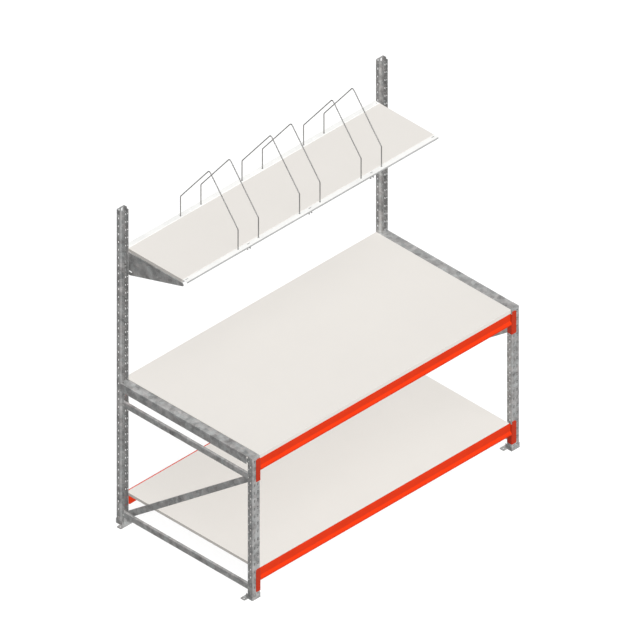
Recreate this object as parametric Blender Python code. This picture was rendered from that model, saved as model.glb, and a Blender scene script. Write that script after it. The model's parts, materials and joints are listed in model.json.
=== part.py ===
"""Packing table on a boltless shelving frame, with a divider shelf above it.

Units are metres. +X runs along the table, -Y is the working side and +Z is up.
The origin is on the floor, under the middle of the whole table.
"""
import math

import bmesh
import bpy
from mathutils import Matrix, Vector
from mathutils.geometry import delaunay_2d_cdt

# Overall sizes
BAY_WIDTH = 1.850             # clear width between the two end frames
FRAME_DEPTH = 1.000           # over the outer faces of the uprights
REAR_HEIGHT = 1.994           # top of the rear uprights
TABLE_HEIGHT = 0.900          # top of the worktop and of the side rails
LOWER_SHELF_HEIGHT = 0.174    # top of the lower shelf
SHELF_HEIGHT = 1.732          # top of the upper shelf
GAP = 0.0003                  # left between pieces that touch
OVERRUN = 0.004               # how far a cutter runs past what it cuts

# Uprights: a roll-formed section, wide in front, with a narrow throat behind
POST_WIDTH = 0.055
POST_DEPTH = 0.045
POST_SIDE = 0.023             # depth of the full-width side walls
THROAT_WIDTH = 0.035
POST_WALL = 0.002
PITCH = 0.050                 # of every row of perforations
FACE_SLOT_FIRST = 0.025       # centre of the lowest slot above the floor
FACE_SLOT_OFFSET = 0.012      # of each column from the middle of the face
FACE_SLOT_HEIGHT = 0.020
FACE_SLOT_TOP = 0.011         # width of the tapered slot at its top
FACE_SLOT_FOOT = 0.007        # and at its foot
SIDE_SLOT_FIRST = 0.042
SIDE_SLOT_SET = 0.0145        # from the face of the upright
SIDE_SLOT_WIDTH = 0.006
SIDE_SLOT_HEIGHT = 0.014
SIDE_HOLE_RAISE = 0.020       # of a round side hole above its slot
END_MARGIN = 0.004            # least metal above the highest perforation

# Base plates: a floor plate with two anchor tabs and a shoe round the upright
BASE_THICKNESS = 0.004
BASE_REACH = 0.062            # from the face of the upright inwards
TAB_REACH = 0.029             # past the side of the upright
TAB_START = 0.030             # from the face of the upright
TAB_CORNER = 0.005
ANCHOR_RADIUS = 0.005
ANCHOR_SET = 0.014            # hole centre from the tip of the tab
SHOE_HEIGHT = 0.030
SHOE_WALL = 0.002

# Beams: closed step section with a splayed foot
BEAM_HEIGHT = 0.069
BEAM_DEPTH = 0.033            # from the face of the beam inwards
BEAM_SET = 0.007              # face of the beam behind the face of the upright
BEAM_SPLAY = 0.011            # how far the foot stands out from the face
BEAM_FOOT = 0.011             # height of the foot's own face
BEAM_LIP = 0.006              # width of the lip beside the step
STEP_DEPTH = 0.019
BEAM_WALL = 0.0015

# Connectors: angle plates that hook into the face of the upright
CONNECTOR_HEIGHT = 0.143
CONNECTOR_RISE = 0.012        # above the top of the beam
CONNECTOR_FLANGE = 0.034      # width on the face of the upright
CONNECTOR_RETURN = 0.034      # depth of the flange that the beam is welded to
CONNECTOR_WALL = 0.003
CONNECTOR_CORNER = 0.012
HOOK_WIDTH = 0.005
HOOK_REACH = 0.006            # behind the face of the upright
HOOK_THROAT = 0.0004          # clearance behind the metal that it grips
HOOK_DROP = 0.006             # below the foot of its slot
HOOK_TOP = 0.003              # above the middle of its slot
HOOK_MARGIN = 0.012           # from the end of the plate to a slot's middle
PIN_RADIUS = 0.0025
PIN_DROP = 0.055              # locking pin hole below the top of the plate
PIN_SET = 0.007               # from the free edge of the plate

# Struts: small channels in the throats of the uprights
STRUT_HEIGHT = 0.035
STRUT_WIDTH = 0.0148
STRUT_WALL = 0.0015
STRUT_END = 0.014             # past the bolt
LOW_BOLT = 0.062              # height of the lower strut bolts
HIGH_BOLT_DROP = 0.138        # upper strut bolts below the table's top
DIAGONAL_DROP = 0.0095        # middle of the diagonal below its bolts

# Bolts
BOLT_SET = 0.0063             # from the inner end of the upright
BOLT_RADIUS = 0.003
BOLT_HOLE = 0.0035
HEAD_ACROSS = 0.010           # across flats, head and nut
HEAD_HEIGHT = 0.004
NUT_HEIGHT = 0.005

# Side rails: folded covers over the end frames
RAIL_HEIGHT = 0.052
RAIL_WALL = 0.002
RAIL_BOLT_DROP = 0.038        # below the table's top
EAR_HEIGHT = 0.026
EAR_WALL = 0.0016
EAR_TIP = 0.026               # end of the ear from the upright's face
EAR_SLANT = 0.018             # length of the part that runs inwards
EAR_FREE = 0.006              # straight part outside the upright
EAR_SEAM = 0.014              # length that lies along the rail's flange

# Panels
WORKTOP_THICKNESS = 0.025
WORKTOP_INSET = 0.005         # behind the faces of the uprights, front and rear
WORKTOP_END_GAP = 0.001
SHELF_THICKNESS = 0.018
SHELF_END_GAP = 0.0015        # to the connectors
SHELF_SIDE_GAP = 0.001        # to the lips of the beams
PANEL_EDGE = 0.001            # rounding of a panel's edges

# Upper shelf with its perforated rails
UPPER_DEPTH = 0.467           # over both rails
UPPER_OVERHANG = 0.004        # rear rail past the faces of the uprights
UPPER_END_GAP = 0.001
UPPER_THICKNESS = 0.019
TRACK_WIDTH = 0.034
TRACK_LIP = 0.010
TRACK_LEDGE = 0.014
TRACK_WALL = 0.0015
TRACK_SLOT_LENGTH = 0.020
TRACK_SLOT_WIDTH = 0.006
TRACK_SLOT_PITCH = 0.452
TRACK_LINE = 0.0215           # slots and wires from the outer edge of the rail
CROSS_BAR_WIDTH = 0.020
CROSS_BAR_HEIGHT = 0.014
CROSS_BAR_WALL = 0.002
CROSS_BAR_INSET = 0.013       # behind the lips of the rails

# Shelf brackets
BRACKET_ROOT = 0.144          # height at the upright
BRACKET_REACH = 0.4375        # from the rear face of the upright to the tip
BRACKET_BACK = 0.006          # rear edge from the rear face of the upright
BRACKET_TIP = 0.011           # radius of the tip
BRACKET_FLANGE = 0.025
BRACKET_WALL = 0.0025
BRACKET_FREE = 0.012          # end of the flange behind the tip
BRACKET_SLOT_LENGTH = 0.024
BRACKET_SLOT_WIDTH = 0.008
BRACKET_SLOT_SET = 0.047      # from the rear face of the upright
BRACKET_SLOT_RAISE = 0.025    # above the lower corner of the bracket
BRACKET_HOOK_MARGIN = 0.020
SIDE_HOOK_WIDTH = 0.004
SIDE_HOOK_REACH = 0.005
SIDE_HOOK_DROP = 0.005
SIDE_HOOK_TOP = 0.002

# Wire dividers
WIRE_RADIUS = 0.003
WIRE_HOLE = 0.0034
WIRE_PAIR = 0.150             # between the two wires of a pair
WIRE_SHOULDER = 0.126         # height of the upright legs above the rail
WIRE_RIDGE = 0.392            # top of the ridge above the rail
WIRE_BEND = 0.014             # inner radius of the shoulders
WIRE_RIDGE_BEND = 0.008
WIRE_PLUG = 0.018             # length of a leg inside the rail
COLLAR_RADIUS = 0.0045
COLLAR_HEIGHT = 0.0025

# Counts of faces on round shapes
HOLE_SIDES = 6
BOLT_SIDES = 6
WIRE_SIDES = 6
CORNER_STEPS = 3
BEND_STEPS = 3
RIDGE_STEPS = 2
TIP_STEPS = 5

# Places that follow from the sizes above
FRAME_X = (BAY_WIDTH + POST_WIDTH) / 2
FACE_Y = FRAME_DEPTH / 2
BOLT_Y = POST_DEPTH - BOLT_SET
THROAT_HALF = THROAT_WIDTH / 2 - POST_WALL
UPPER_BEAM_TOP = TABLE_HEIGHT - WORKTOP_THICKNESS - GAP
LOWER_BEAM_TOP = LOWER_SHELF_HEIGHT - SHELF_THICKNESS - GAP + STEP_DEPTH
POST_FOOT = BASE_THICKNESS + GAP
FRONT_HEIGHT = TABLE_HEIGHT - RAIL_WALL - GAP
HIGH_BOLT = TABLE_HEIGHT - HIGH_BOLT_DROP
RAIL_BOLT = TABLE_HEIGHT - RAIL_BOLT_DROP
UPPER_REAR = FACE_Y + UPPER_OVERHANG
UPPER_FRONT = UPPER_REAR - UPPER_DEPTH
UPPER_MIDDLE = UPPER_REAR - UPPER_DEPTH / 2
LEDGE_TOP = SHELF_HEIGHT - UPPER_THICKNESS - GAP
BRACKET_TOP = LEDGE_TOP - TRACK_WALL - GAP
WIRE_SPAN = UPPER_DEPTH - 2 * TRACK_LINE

# Finishes: colour, roughness, metallic
GALVANISED = ((0.46, 0.47, 0.48), 0.42, 0.85)
ORANGE = ((0.80, 0.075, 0.012), 0.38, 0.0)
WHITE = ((0.88, 0.88, 0.86), 0.40, 0.0)
BOARD = ((0.80, 0.77, 0.72), 0.50, 0.0)
WIRE = ((0.40, 0.40, 0.41), 0.30, 0.90)
ZINC = ((0.62, 0.63, 0.64), 0.32, 0.95)


def clear_scene():
    """Remove what a new file holds."""
    for thing in list(bpy.data.objects):
        bpy.data.objects.remove(thing, do_unlink=True)


def rectangle(low_u, high_u, low_v, high_v):
    return [(low_u, low_v), (high_u, low_v), (high_u, high_v), (low_u, high_v)]


def ring(centre_u, centre_v, radius, sides, turn=0.0):
    """Corners of a regular polygon; turn is a share of one side."""
    step = 2 * math.pi / sides
    return [(centre_u + radius * math.cos(step * (i + turn)),
             centre_v + radius * math.sin(step * (i + turn))) for i in range(sides)]


def arc(centre, radius, start, end, steps):
    """Points on a circle between two angles in degrees."""
    angles = [math.radians(start + (end - start) * i / steps) for i in range(steps + 1)]
    return [(centre[0] + radius * math.cos(a), centre[1] + radius * math.sin(a)) for a in angles]


def beside(points, distance, closed=False):
    """The same line moved to its left, with mitred corners."""
    line = [Vector(point) for point in points]
    count = len(line)
    moved = []
    for i in range(count):
        sides = []
        if closed or i > 0:
            sides.append((line[i] - line[i - 1]).normalized())
        if closed or i < count - 1:
            sides.append((line[(i + 1) % count] - line[i]).normalized())
        normals = [Vector((-side.y, side.x)) for side in sides]
        first, last = normals[0], normals[-1]
        moved.append(tuple(line[i] + (first + last) * (distance / (1 + first.dot(last)))))
    return moved


def folded(path, wall):
    """Outline of a sheet whose one face follows the path; wall lies to its left."""
    return list(path) + beside(path, wall)[::-1]


def placed(along, u, v, w):
    """A section point (u, v) at distance w along one axis."""
    return {"x": (w, u, v), "y": (u, w, v), "z": (u, v, w)}[along]


def mesh_from(work):
    """Finish a bmesh as a mesh whose faces point outwards."""
    bmesh.ops.recalc_face_normals(work, faces=work.faces[:])
    mesh = bpy.data.meshes.new("shape")
    work.to_mesh(mesh)
    work.free()
    return mesh


def add_prism(work, outline, low, high, along):
    """A flat outline carried from low to high; along x it is (y, z), along y (x, z)."""
    start = [work.verts.new(placed(along, u, v, low)) for u, v in outline]
    end = [work.verts.new(placed(along, u, v, high)) for u, v in outline]
    count = len(outline)
    for i in range(count):
        j = (i + 1) % count
        work.faces.new((start[i], start[j], end[j], end[i]))
    work.faces.new(start[::-1])
    work.faces.new(end)


def prism(outline, low, high, along):
    work = bmesh.new()
    add_prism(work, outline, low, high, along)
    return mesh_from(work)


def prisms(shapes):
    """Several prisms that don't touch, as one mesh for cutting."""
    work = bmesh.new()
    for shape in shapes:
        add_prism(work, *shape)
    return mesh_from(work)


def box(low, high):
    return prism(rectangle(low[0], high[0], low[1], high[1]), low[2], high[2], "z")


def tube(outline, wall, low, high, along):
    """A closed section with an even wall, open at both ends."""
    work = bmesh.new()
    inner = beside(outline, wall, closed=True)
    loops = [[work.verts.new(placed(along, u, v, w)) for u, v in points]
             for points in (outline, inner) for w in (low, high)]
    outer_low, outer_high, inner_low, inner_high = loops
    for a, b in ((outer_low, outer_high), (inner_high, inner_low),
                 (inner_low, outer_low), (outer_high, inner_high)):
        for i in range(len(outline)):
            j = (i + 1) % len(outline)
            work.faces.new((a[i], a[j], b[j], b[i]))
    return mesh_from(work)


def turned_left(points):
    """Whether a flat outline runs anticlockwise."""
    return sum(a[0] * b[1] - b[0] * a[1] for a, b in zip(points[-1:] + points, points)) > 0


def fill_wall(work, loops, flats):
    """Fill between a rim and the holes inside it; flats holds the 2-D points of each loop."""
    verts, points, numbers = [], [], []
    for loop, flat in zip(loops, flats):
        order = list(range(len(verts), len(verts) + len(loop)))
        numbers.append(order if turned_left(flat) else order[::-1])
        verts += loop
        points += [Vector(point) for point in flat]
    inside_only = 1
    result = delaunay_2d_cdt(points, [], numbers, inside_only, 0)
    for face, owners in zip(result[2], result[5]):
        if list(owners) == [0]:
            work.faces.new([verts[result[3][number][0]] for number in face])


def add_wall(work, ends, rim, span, along, outlines):
    """One face of a flat wall from rim to rim with its holes; returns the holes' loops."""
    if not outlines:
        work.faces.new(rim)
        return []
    start, end = ends
    low, high = span
    level = abs(end[0] - start[0]) > abs(end[1] - start[1])
    first, last = (start[0], end[0]) if level else (start[1], end[1])
    loops = []
    for outline in outlines:
        spots = [(place, start[1], w) if level else (start[0], place, w) for place, w in outline]
        loops.append([work.verts.new(placed(along, *spot)) for spot in spots])
    corners = [(first, low), (last, low), (last, high), (first, high)]
    fill_wall(work, [rim] + loops, [corners] + outlines)
    return loops


def perforated(path, wall, span, along, holes):
    """A folded sheet with holes: each has its wall's number and its (place, w) outline."""
    work = bmesh.new()
    sheets = (list(path), beside(path, wall))
    tips = [[[work.verts.new(placed(along, u, v, w)) for u, v in points] for w in span]
            for points in sheets]
    for i in range(len(path) - 1):
        outlines = [outline for number, outline in holes if number == i]
        sides = []
        for points, (near, far) in zip(sheets, tips):
            rim = [near[i], near[i + 1], far[i + 1], far[i]]
            sides.append(add_wall(work, points[i:i + 2], rim, span, along, outlines))
        for outer, inner in zip(*sides):
            for k in range(len(outer)):
                work.faces.new((outer[k - 1], outer[k], inner[k], inner[k - 1]))
    for side in (0, 1):
        work.faces.new(tips[0][side] + tips[1][side][::-1])
    for edge in (0, -1):
        (a, b), (d, c) = [[line[edge] for line in pair] for pair in tips]
        work.faces.new((a, b, c, d))
    return mesh_from(work)


def swept(rings):
    """A solid through rings of points that all have the same count."""
    work = bmesh.new()
    loops = [[work.verts.new(point) for point in points] for points in rings]
    count = len(loops[0])
    for a, b in zip(loops, loops[1:]):
        for i in range(count):
            j = (i + 1) % count
            work.faces.new((a[i], a[j], b[j], b[i]))
    work.faces.new(loops[0][::-1])
    work.faces.new(loops[-1])
    return mesh_from(work)


def combined(body, tool, operation):
    """Join or cut two meshes with an exact Boolean, as a new mesh."""
    pair = [bpy.data.objects.new("pair", mesh) for mesh in (body, tool)]
    for thing in pair:
        bpy.context.scene.collection.objects.link(thing)
    modifier = pair[0].modifiers.new("boolean", "BOOLEAN")
    modifier.operation = operation
    modifier.solver = "EXACT"
    modifier.object = pair[1]
    graph = bpy.context.evaluated_depsgraph_get()
    result = bpy.data.meshes.new_from_object(pair[0].evaluated_get(graph))
    for thing in pair:
        bpy.data.objects.remove(thing, do_unlink=True)
    for mesh in (body, tool):
        bpy.data.meshes.remove(mesh)
    return result


def fused(meshes):
    body = meshes[0]
    for mesh in meshes[1:]:
        body = combined(body, mesh, "UNION")
    return body


def cut(body, shapes):
    return combined(body, prisms(shapes), "DIFFERENCE")


def mirrored(mesh, x_side, y_side):
    """The mesh for another corner: a side of -1 mirrors it."""
    copy = mesh.copy()
    copy.transform(Matrix.Diagonal((x_side, y_side, 1, 1)))
    if x_side * y_side < 0:
        copy.flip_normals()
    return copy


def add(name, mesh, finish, location=(0, 0, 0), turn_x=0.0):
    """Put a named piece in the scene, with its own material."""
    colour, roughness, metallic = finish
    material = bpy.data.materials.new(name)
    material.use_nodes = True
    shader = material.node_tree.nodes["Principled BSDF"]
    shader.inputs["Base Color"].default_value = (*colour, 1.0)
    shader.inputs["Roughness"].default_value = roughness
    shader.inputs["Metallic"].default_value = metallic
    mesh.name = name
    mesh.materials.clear()
    mesh.materials.append(material)
    piece = bpy.data.objects.new(name, mesh)
    piece.location = location
    piece.rotation_euler = (turn_x, 0, 0)
    bpy.context.scene.collection.objects.link(piece)
    return piece


def rows(first, top):
    """Heights of a column of perforations between the floor and a limit."""
    count = max(0, math.floor((top - first) / PITCH) + 1)
    return [first + PITCH * i for i in range(count)]


def face_slots(top):
    return rows(FACE_SLOT_FIRST, top - END_MARGIN - FACE_SLOT_HEIGHT / 2)


def side_slots(top):
    return rows(SIDE_SLOT_FIRST, top - END_MARGIN - SIDE_SLOT_HEIGHT / 2)


def side_holes(top):
    return rows(SIDE_SLOT_FIRST + SIDE_HOLE_RAISE, top - END_MARGIN - BOLT_HOLE)


def upright_section():
    """Outer face of the section, round the web from throat end to throat end."""
    half, throat = POST_WIDTH / 2, THROAT_WIDTH / 2
    bend = POST_SIDE + half - throat
    side = [(throat, POST_DEPTH), (throat, bend), (half, POST_SIDE), (half, 0)]
    return [(-x, y) for x, y in side] + side[::-1]


def upright(height, bolt_heights, bracket_bolts):
    """An upright seen from its face: x across, y inwards, with all its holes."""
    throats, sides, face = (0, 6), (2, 4), 3
    half_slot = FACE_SLOT_HEIGHT / 2
    holes = []
    for z in face_slots(height):
        for x in (-FACE_SLOT_OFFSET, FACE_SLOT_OFFSET):
            foot = [(x + side * FACE_SLOT_FOOT / 2, z - half_slot) for side in (-1, 1)]
            head = [(x + side * FACE_SLOT_TOP / 2, z + half_slot) for side in (1, -1)]
            holes.append((face, foot + head))
    for z in side_slots(height):
        slot = rectangle(SIDE_SLOT_SET - SIDE_SLOT_WIDTH / 2, SIDE_SLOT_SET + SIDE_SLOT_WIDTH / 2,
                         z - SIDE_SLOT_HEIGHT / 2, z + SIDE_SLOT_HEIGHT / 2)
        holes += [(wall, slot) for wall in sides]
    for z in bolt_heights:
        holes += [(wall, ring(BOLT_Y, z, BOLT_HOLE, HOLE_SIDES)) for wall in throats]
    for z in bracket_bolts:
        holes += [(wall, ring(SIDE_SLOT_SET, z, BOLT_HOLE, HOLE_SIDES)) for wall in sides]
    return perforated(upright_section(), POST_WALL, (POST_FOOT, height), "z", holes)


def base_plate():
    """Floor plate with anchor tabs, and the shoe that the upright stands in."""
    inner = POST_WIDTH / 2 + GAP
    outer = inner + SHOE_WALL
    front = -GAP - SHOE_WALL
    tab = POST_WIDTH / 2 + TAB_REACH
    corner = TAB_CORNER
    right = ([(outer, front), (outer, TAB_START)]
             + arc((tab - corner, TAB_START + corner), corner, -90, 0, CORNER_STEPS)
             + arc((tab - corner, BASE_REACH - corner), corner, 0, 90, CORNER_STEPS))
    outline = right + [(-x, y) for x, y in right[::-1]]
    plate = prism(outline, 0, BASE_THICKNESS, "z")
    shoe_path = [(-outer, POST_DEPTH), (-outer, front), (outer, front), (outer, POST_DEPTH)]
    shoe = prism(folded(shoe_path, SHOE_WALL), BASE_THICKNESS / 2, SHOE_HEIGHT, "z")
    middle = (TAB_START + BASE_REACH) / 2
    holes = [(ring(side * (tab - ANCHOR_SET), middle, ANCHOR_RADIUS, HOLE_SIDES),
              -OVERRUN, BASE_THICKNESS + OVERRUN, "z") for side in (-1, 1)]
    return cut(combined(plate, shoe, "UNION"), holes)


def beam(length):
    """Step beam from its face: y inwards, z down from its top, along x."""
    back = BEAM_DEPTH
    splay_top = BEAM_FOOT + BEAM_SPLAY - BEAM_HEIGHT
    outline = [(-BEAM_SPLAY, -BEAM_HEIGHT), (back, -BEAM_HEIGHT), (back, -STEP_DEPTH),
               (BEAM_LIP, -STEP_DEPTH), (BEAM_LIP, 0), (0, 0), (0, splay_top),
               (-BEAM_SPLAY, BEAM_FOOT - BEAM_HEIGHT)]
    return tube(outline, BEAM_WALL, -length / 2, length / 2, "x")


def hook(slot_foot, top, reach, drop, root):
    """Outline of a hook that passes a slot in an upright's wall and drops behind it."""
    nose = POST_WALL + HOOK_THROAT
    end = POST_WALL + reach
    return [(-root, top), (end, top), (end, slot_foot - drop),
            (nose, slot_foot - drop), (nose, slot_foot + GAP), (-root, slot_foot + GAP)]


def connector(beam_top):
    """Front left beam connector in the upright's own axes, x towards the beam."""
    side = POST_WIDTH / 2 + GAP
    front = -GAP - CONNECTOR_WALL
    top = beam_top + CONNECTOR_RISE
    foot = top - CONNECTOR_HEIGHT
    free = side + CONNECTOR_WALL - CONNECTOR_FLANGE
    corner = CONNECTOR_CORNER
    face = ([(side + CONNECTOR_WALL, foot), (side + CONNECTOR_WALL, top)]
            + arc((free + corner, top - corner), corner, 90, 180, CORNER_STEPS)
            + arc((free + corner, foot + corner), corner, 180, 270, CORNER_STEPS))
    flange = prism(face, front, -GAP, "y")
    rear = front + CONNECTOR_RETURN
    slant = corner / 2
    fin = [(front / 2, foot + GAP), (rear - slant, foot + GAP), (rear, foot + slant),
           (rear, beam_top - slant), (rear - slant, beam_top - GAP), (front / 2, beam_top - GAP)]
    fin = prism(fin, side, side + CONNECTOR_WALL - GAP / 2, "x")
    left, right = FACE_SLOT_OFFSET - HOOK_WIDTH / 2, FACE_SLOT_OFFSET + HOOK_WIDTH / 2
    hooks = []
    for z in face_slots(top):
        if z - HOOK_MARGIN - HOOK_DROP > foot and z + HOOK_MARGIN < top:
            shape = hook(z - FACE_SLOT_HEIGHT / 2, z + HOOK_TOP, HOOK_REACH, HOOK_DROP, CONNECTOR_WALL / 2)
            hooks.append(prism(shape, left, right, "x"))
    pin = ring(free + PIN_SET, top - PIN_DROP, PIN_RADIUS, HOLE_SIDES)
    return cut(fused([flange, fin] + hooks), [(pin, front - OVERRUN, OVERRUN, "y")])


def strut(length, middle, low_x):
    """Channel along y from one bolt to the next, open towards +x."""
    low, high = middle - STRUT_HEIGHT / 2, middle + STRUT_HEIGHT / 2
    path = [(low_x + STRUT_WIDTH, high), (low_x, high), (low_x, low), (low_x + STRUT_WIDTH, low)]
    web = 1
    holes = [(web, ring(0, y, BOLT_HOLE, HOLE_SIDES)) for y in (0, length)]
    return perforated(path, STRUT_WALL, (-STRUT_END, length + STRUT_END), "y", holes)


def bolt(grip):
    """Hex bolt along +x with its nut: the head's seat is at 0, the nut's at grip."""
    radius = HEAD_ACROSS / 2 / math.cos(math.pi / BOLT_SIDES)
    nut = grip + GAP
    stations = [(-GAP - HEAD_HEIGHT, radius), (-GAP, radius), (-GAP, BOLT_RADIUS), (nut, BOLT_RADIUS),
                (nut, radius), (nut + NUT_HEIGHT, radius)]
    upright_flats = BOLT_SIDES / 4
    return swept([[(x, y, z) for y, z in ring(0, 0, size, BOLT_SIDES, upright_flats)]
                  for x, size in stations])


def ears(start):
    """Plans (x, y) of the four ears that run from a side rail's flanges into the throats."""
    throat = THROAT_HALF - GAP
    seam = POST_WIDTH / 2 - RAIL_WALL / 4
    bend = start + EAR_FREE
    turn = bend + EAR_SLANT
    plans = []
    for side in (-1, 1):
        path = [(side * throat, EAR_TIP), (side * throat, bend),
                (side * seam, turn), (side * seam, turn + EAR_SEAM)]
        plan = folded(path, side * EAR_WALL)
        plans += [plan, [(x, FRAME_DEPTH - y) for x, y in plan]]
    return plans


def side_rail():
    """Folded cover of one end frame, in the axes of its front upright."""
    half = POST_WIDTH / 2
    foot = TABLE_HEIGHT - RAIL_HEIGHT
    start, end = POST_DEPTH + GAP, FRAME_DEPTH - POST_DEPTH - GAP
    path = [(half, foot), (half, TABLE_HEIGHT), (-half, TABLE_HEIGHT), (-half, foot)]
    cover = prism(folded(path, RAIL_WALL), start, end, "y")
    cap = box((-half, 0, TABLE_HEIGHT - RAIL_WALL), (half, start + RAIL_WALL, TABLE_HEIGHT))
    low, high = RAIL_BOLT - EAR_HEIGHT / 2, RAIL_BOLT + EAR_HEIGHT / 2
    body = fused([cover, cap] + [prism(plan, low, high, "z") for plan in ears(start)])
    reach = THROAT_HALF + OVERRUN
    return cut(body, [(ring(y, RAIL_BOLT, BOLT_HOLE, HOLE_SIDES), -reach, reach, "x")
                      for y in (BOLT_Y, FRAME_DEPTH - BOLT_Y)])


def bracket_side_rows():
    """Side slots that the bracket hooks into, and the hole that it is bolted to."""
    low = BRACKET_TOP - BRACKET_ROOT + BRACKET_HOOK_MARGIN
    slots = [z for z in side_slots(BRACKET_TOP) if z > low]
    holes = [z for z in side_holes(BRACKET_TOP) if z > low + BRACKET_HOOK_MARGIN]
    return slots, holes[:1]


def bracket_outline(top, foot):
    """Side view (y, z) of a bracket: square at the upright, tapering to a round tip."""
    centre = Vector((BRACKET_REACH - BRACKET_TIP, top - BRACKET_TIP))
    corner = Vector((POST_DEPTH, foot))
    line = centre - corner
    slope = math.degrees(math.atan2(line.y, line.x) - math.asin(BRACKET_TIP / line.length))
    root = [(BRACKET_BACK, top), (BRACKET_BACK, foot), tuple(corner)]
    return root + arc(centre, BRACKET_TIP, slope - 90, 90, TIP_STEPS)


def bracket_hooks(slots):
    """Hooks through the slots in the side of the upright."""
    low, high = SIDE_SLOT_SET - SIDE_HOOK_WIDTH / 2, SIDE_SLOT_SET + SIDE_HOOK_WIDTH / 2
    root = BRACKET_WALL / 2 + GAP
    hooks = []
    for z in slots:
        shape = hook(z - SIDE_SLOT_HEIGHT / 2, z + SIDE_HOOK_TOP, SIDE_HOOK_REACH, SIDE_HOOK_DROP, root)
        hooks.append(prism([(POST_WIDTH / 2 - depth, height) for depth, height in shape], low, high, "y"))
    return hooks


def bracket():
    """Rear left shelf bracket in its upright's axes: y runs from the face inwards."""
    side = POST_WIDTH / 2 + GAP
    top, foot = BRACKET_TOP, BRACKET_TOP - BRACKET_ROOT
    plate = prism(bracket_outline(top, foot), side, side + BRACKET_WALL, "x")
    flange = box((side + BRACKET_WALL / 2, BRACKET_BACK + GAP, top - BRACKET_WALL),
                 (side + BRACKET_FLANGE, BRACKET_REACH - BRACKET_FREE, top))
    slots, holes = bracket_side_rows()
    body = fused([plate, flange] + bracket_hooks(slots))
    near, far = BRACKET_SLOT_SET - BRACKET_SLOT_LENGTH / 2, BRACKET_SLOT_SET + BRACKET_SLOT_LENGTH / 2
    low = foot + BRACKET_SLOT_RAISE - BRACKET_SLOT_WIDTH / 2
    outlines = [rectangle(near, far, low, low + BRACKET_SLOT_WIDTH)]
    outlines += [ring(SIDE_SLOT_SET, z, BOLT_HOLE, HOLE_SIDES) for z in holes]
    return cut(body, [(outline, side - OVERRUN, side + BRACKET_WALL + OVERRUN, "x")
                      for outline in outlines])


def bar_places():
    """Where the cross bars run, each midway between the two dividers of a pair."""
    return [TRACK_SLOT_PITCH * i for i in (-1, 0, 1)]


def wire_places():
    """Where the dividers stand along the rails, from left to right."""
    return [x + side * WIRE_PAIR / 2 for x in bar_places() for side in (-1, 1)]


def slot_places():
    """Where the slots lie along the divider rails, as many as fit."""
    room = BAY_WIDTH / 2 - UPPER_END_GAP - TRACK_WALL - TRACK_SLOT_LENGTH / 2
    steps = math.floor(room / TRACK_SLOT_PITCH)
    return [TRACK_SLOT_PITCH * i for i in range(-steps, steps + 1)]


def track():
    """Front divider rail: y from its outer edge inwards, z down from its top."""
    floor = LEDGE_TOP - SHELF_HEIGHT
    path = [(TRACK_WIDTH + TRACK_LEDGE, floor), (TRACK_WIDTH, floor),
            (TRACK_WIDTH, 0), (0, 0), (0, -TRACK_LIP)]
    top = 2
    near, far = TRACK_LINE - TRACK_SLOT_WIDTH / 2, TRACK_LINE + TRACK_SLOT_WIDTH / 2
    radius = WIRE_HOLE / math.cos(math.pi / HOLE_SIDES)
    holes = [(top, rectangle(near, far, x - TRACK_SLOT_LENGTH / 2, x + TRACK_SLOT_LENGTH / 2))
             for x in slot_places()]
    holes += [(top, ring(TRACK_LINE, x, radius, HOLE_SIDES)) for x in wire_places()]
    half = BAY_WIDTH / 2 - UPPER_END_GAP
    return perforated(path, TRACK_WALL, (-half, half), "x", holes)


def cross_bar():
    """Channel under the shelf, open downwards, from rail to rail along y."""
    half = CROSS_BAR_WIDTH / 2
    path = [(half, -CROSS_BAR_HEIGHT), (half, 0), (-half, 0), (-half, -CROSS_BAR_HEIGHT)]
    reach = UPPER_DEPTH / 2 - CROSS_BAR_INSET
    return prism(folded(path, CROSS_BAR_WALL), -reach, reach, "y")


def wire_bends():
    """Points (y, z) and headings round one shoulder and up to the ridge."""
    half = WIRE_SPAN / 2
    bend, crest = WIRE_BEND + WIRE_RADIUS, WIRE_RIDGE_BEND + WIRE_RADIUS
    peak = WIRE_RIDGE - WIRE_RADIUS - crest
    rise = peak - WIRE_SHOULDER
    slope = math.atan2(rise, half) + math.asin(crest / math.hypot(half, rise))
    lean = math.degrees(slope)
    turn = math.pi / 2 - slope
    low = (bend - half, WIRE_SHOULDER - bend * math.tan(turn / 2))
    points = arc(low, bend, 180, 90 + lean, BEND_STEPS)
    points += arc((0, peak), crest, 90 + lean, 90, RIDGE_STEPS)
    headings = [math.pi / 2 - turn * i / BEND_STEPS for i in range(BEND_STEPS + 1)]
    headings += [slope - slope * i / RIDGE_STEPS for i in range(RIDGE_STEPS + 1)]
    return zip(points, headings)


def divider():
    """Bent wire bow; z is 0 at the top of the rails, y is 0 in the middle."""
    leg = -WIRE_SPAN / 2
    collar_top = GAP + COLLAR_HEIGHT
    heights = [(-WIRE_PLUG, WIRE_RADIUS), (GAP, WIRE_RADIUS), (GAP, COLLAR_RADIUS),
               (collar_top, COLLAR_RADIUS), (collar_top, WIRE_RADIUS)]
    left = [(leg, z, size, math.pi / 2) for z, size in heights]
    left += [(y, z, WIRE_RADIUS, heading) for (y, z), heading in wire_bends()]
    right = [(-y, z, size, -heading) for y, z, size, heading in left[-2::-1]]
    rings = []
    for y, z, size, heading in left + right:
        spread = ring(0, 0, size, WIRE_SIDES)
        rings.append([(across, y - lift * math.sin(heading), z + lift * math.cos(heading))
                      for across, lift in spread])
    return swept(rings)


def panel(length, depth, thickness):
    """Board lying flat, its top at 0, with softened edges."""
    work = bmesh.new()
    add_prism(work, rectangle(-length / 2, length / 2, -depth / 2, depth / 2), -thickness, 0, "z")
    bmesh.ops.bevel(work, geom=work.edges[:], offset=PANEL_EDGE, segments=1, affect="EDGES")
    return mesh_from(work)


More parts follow.
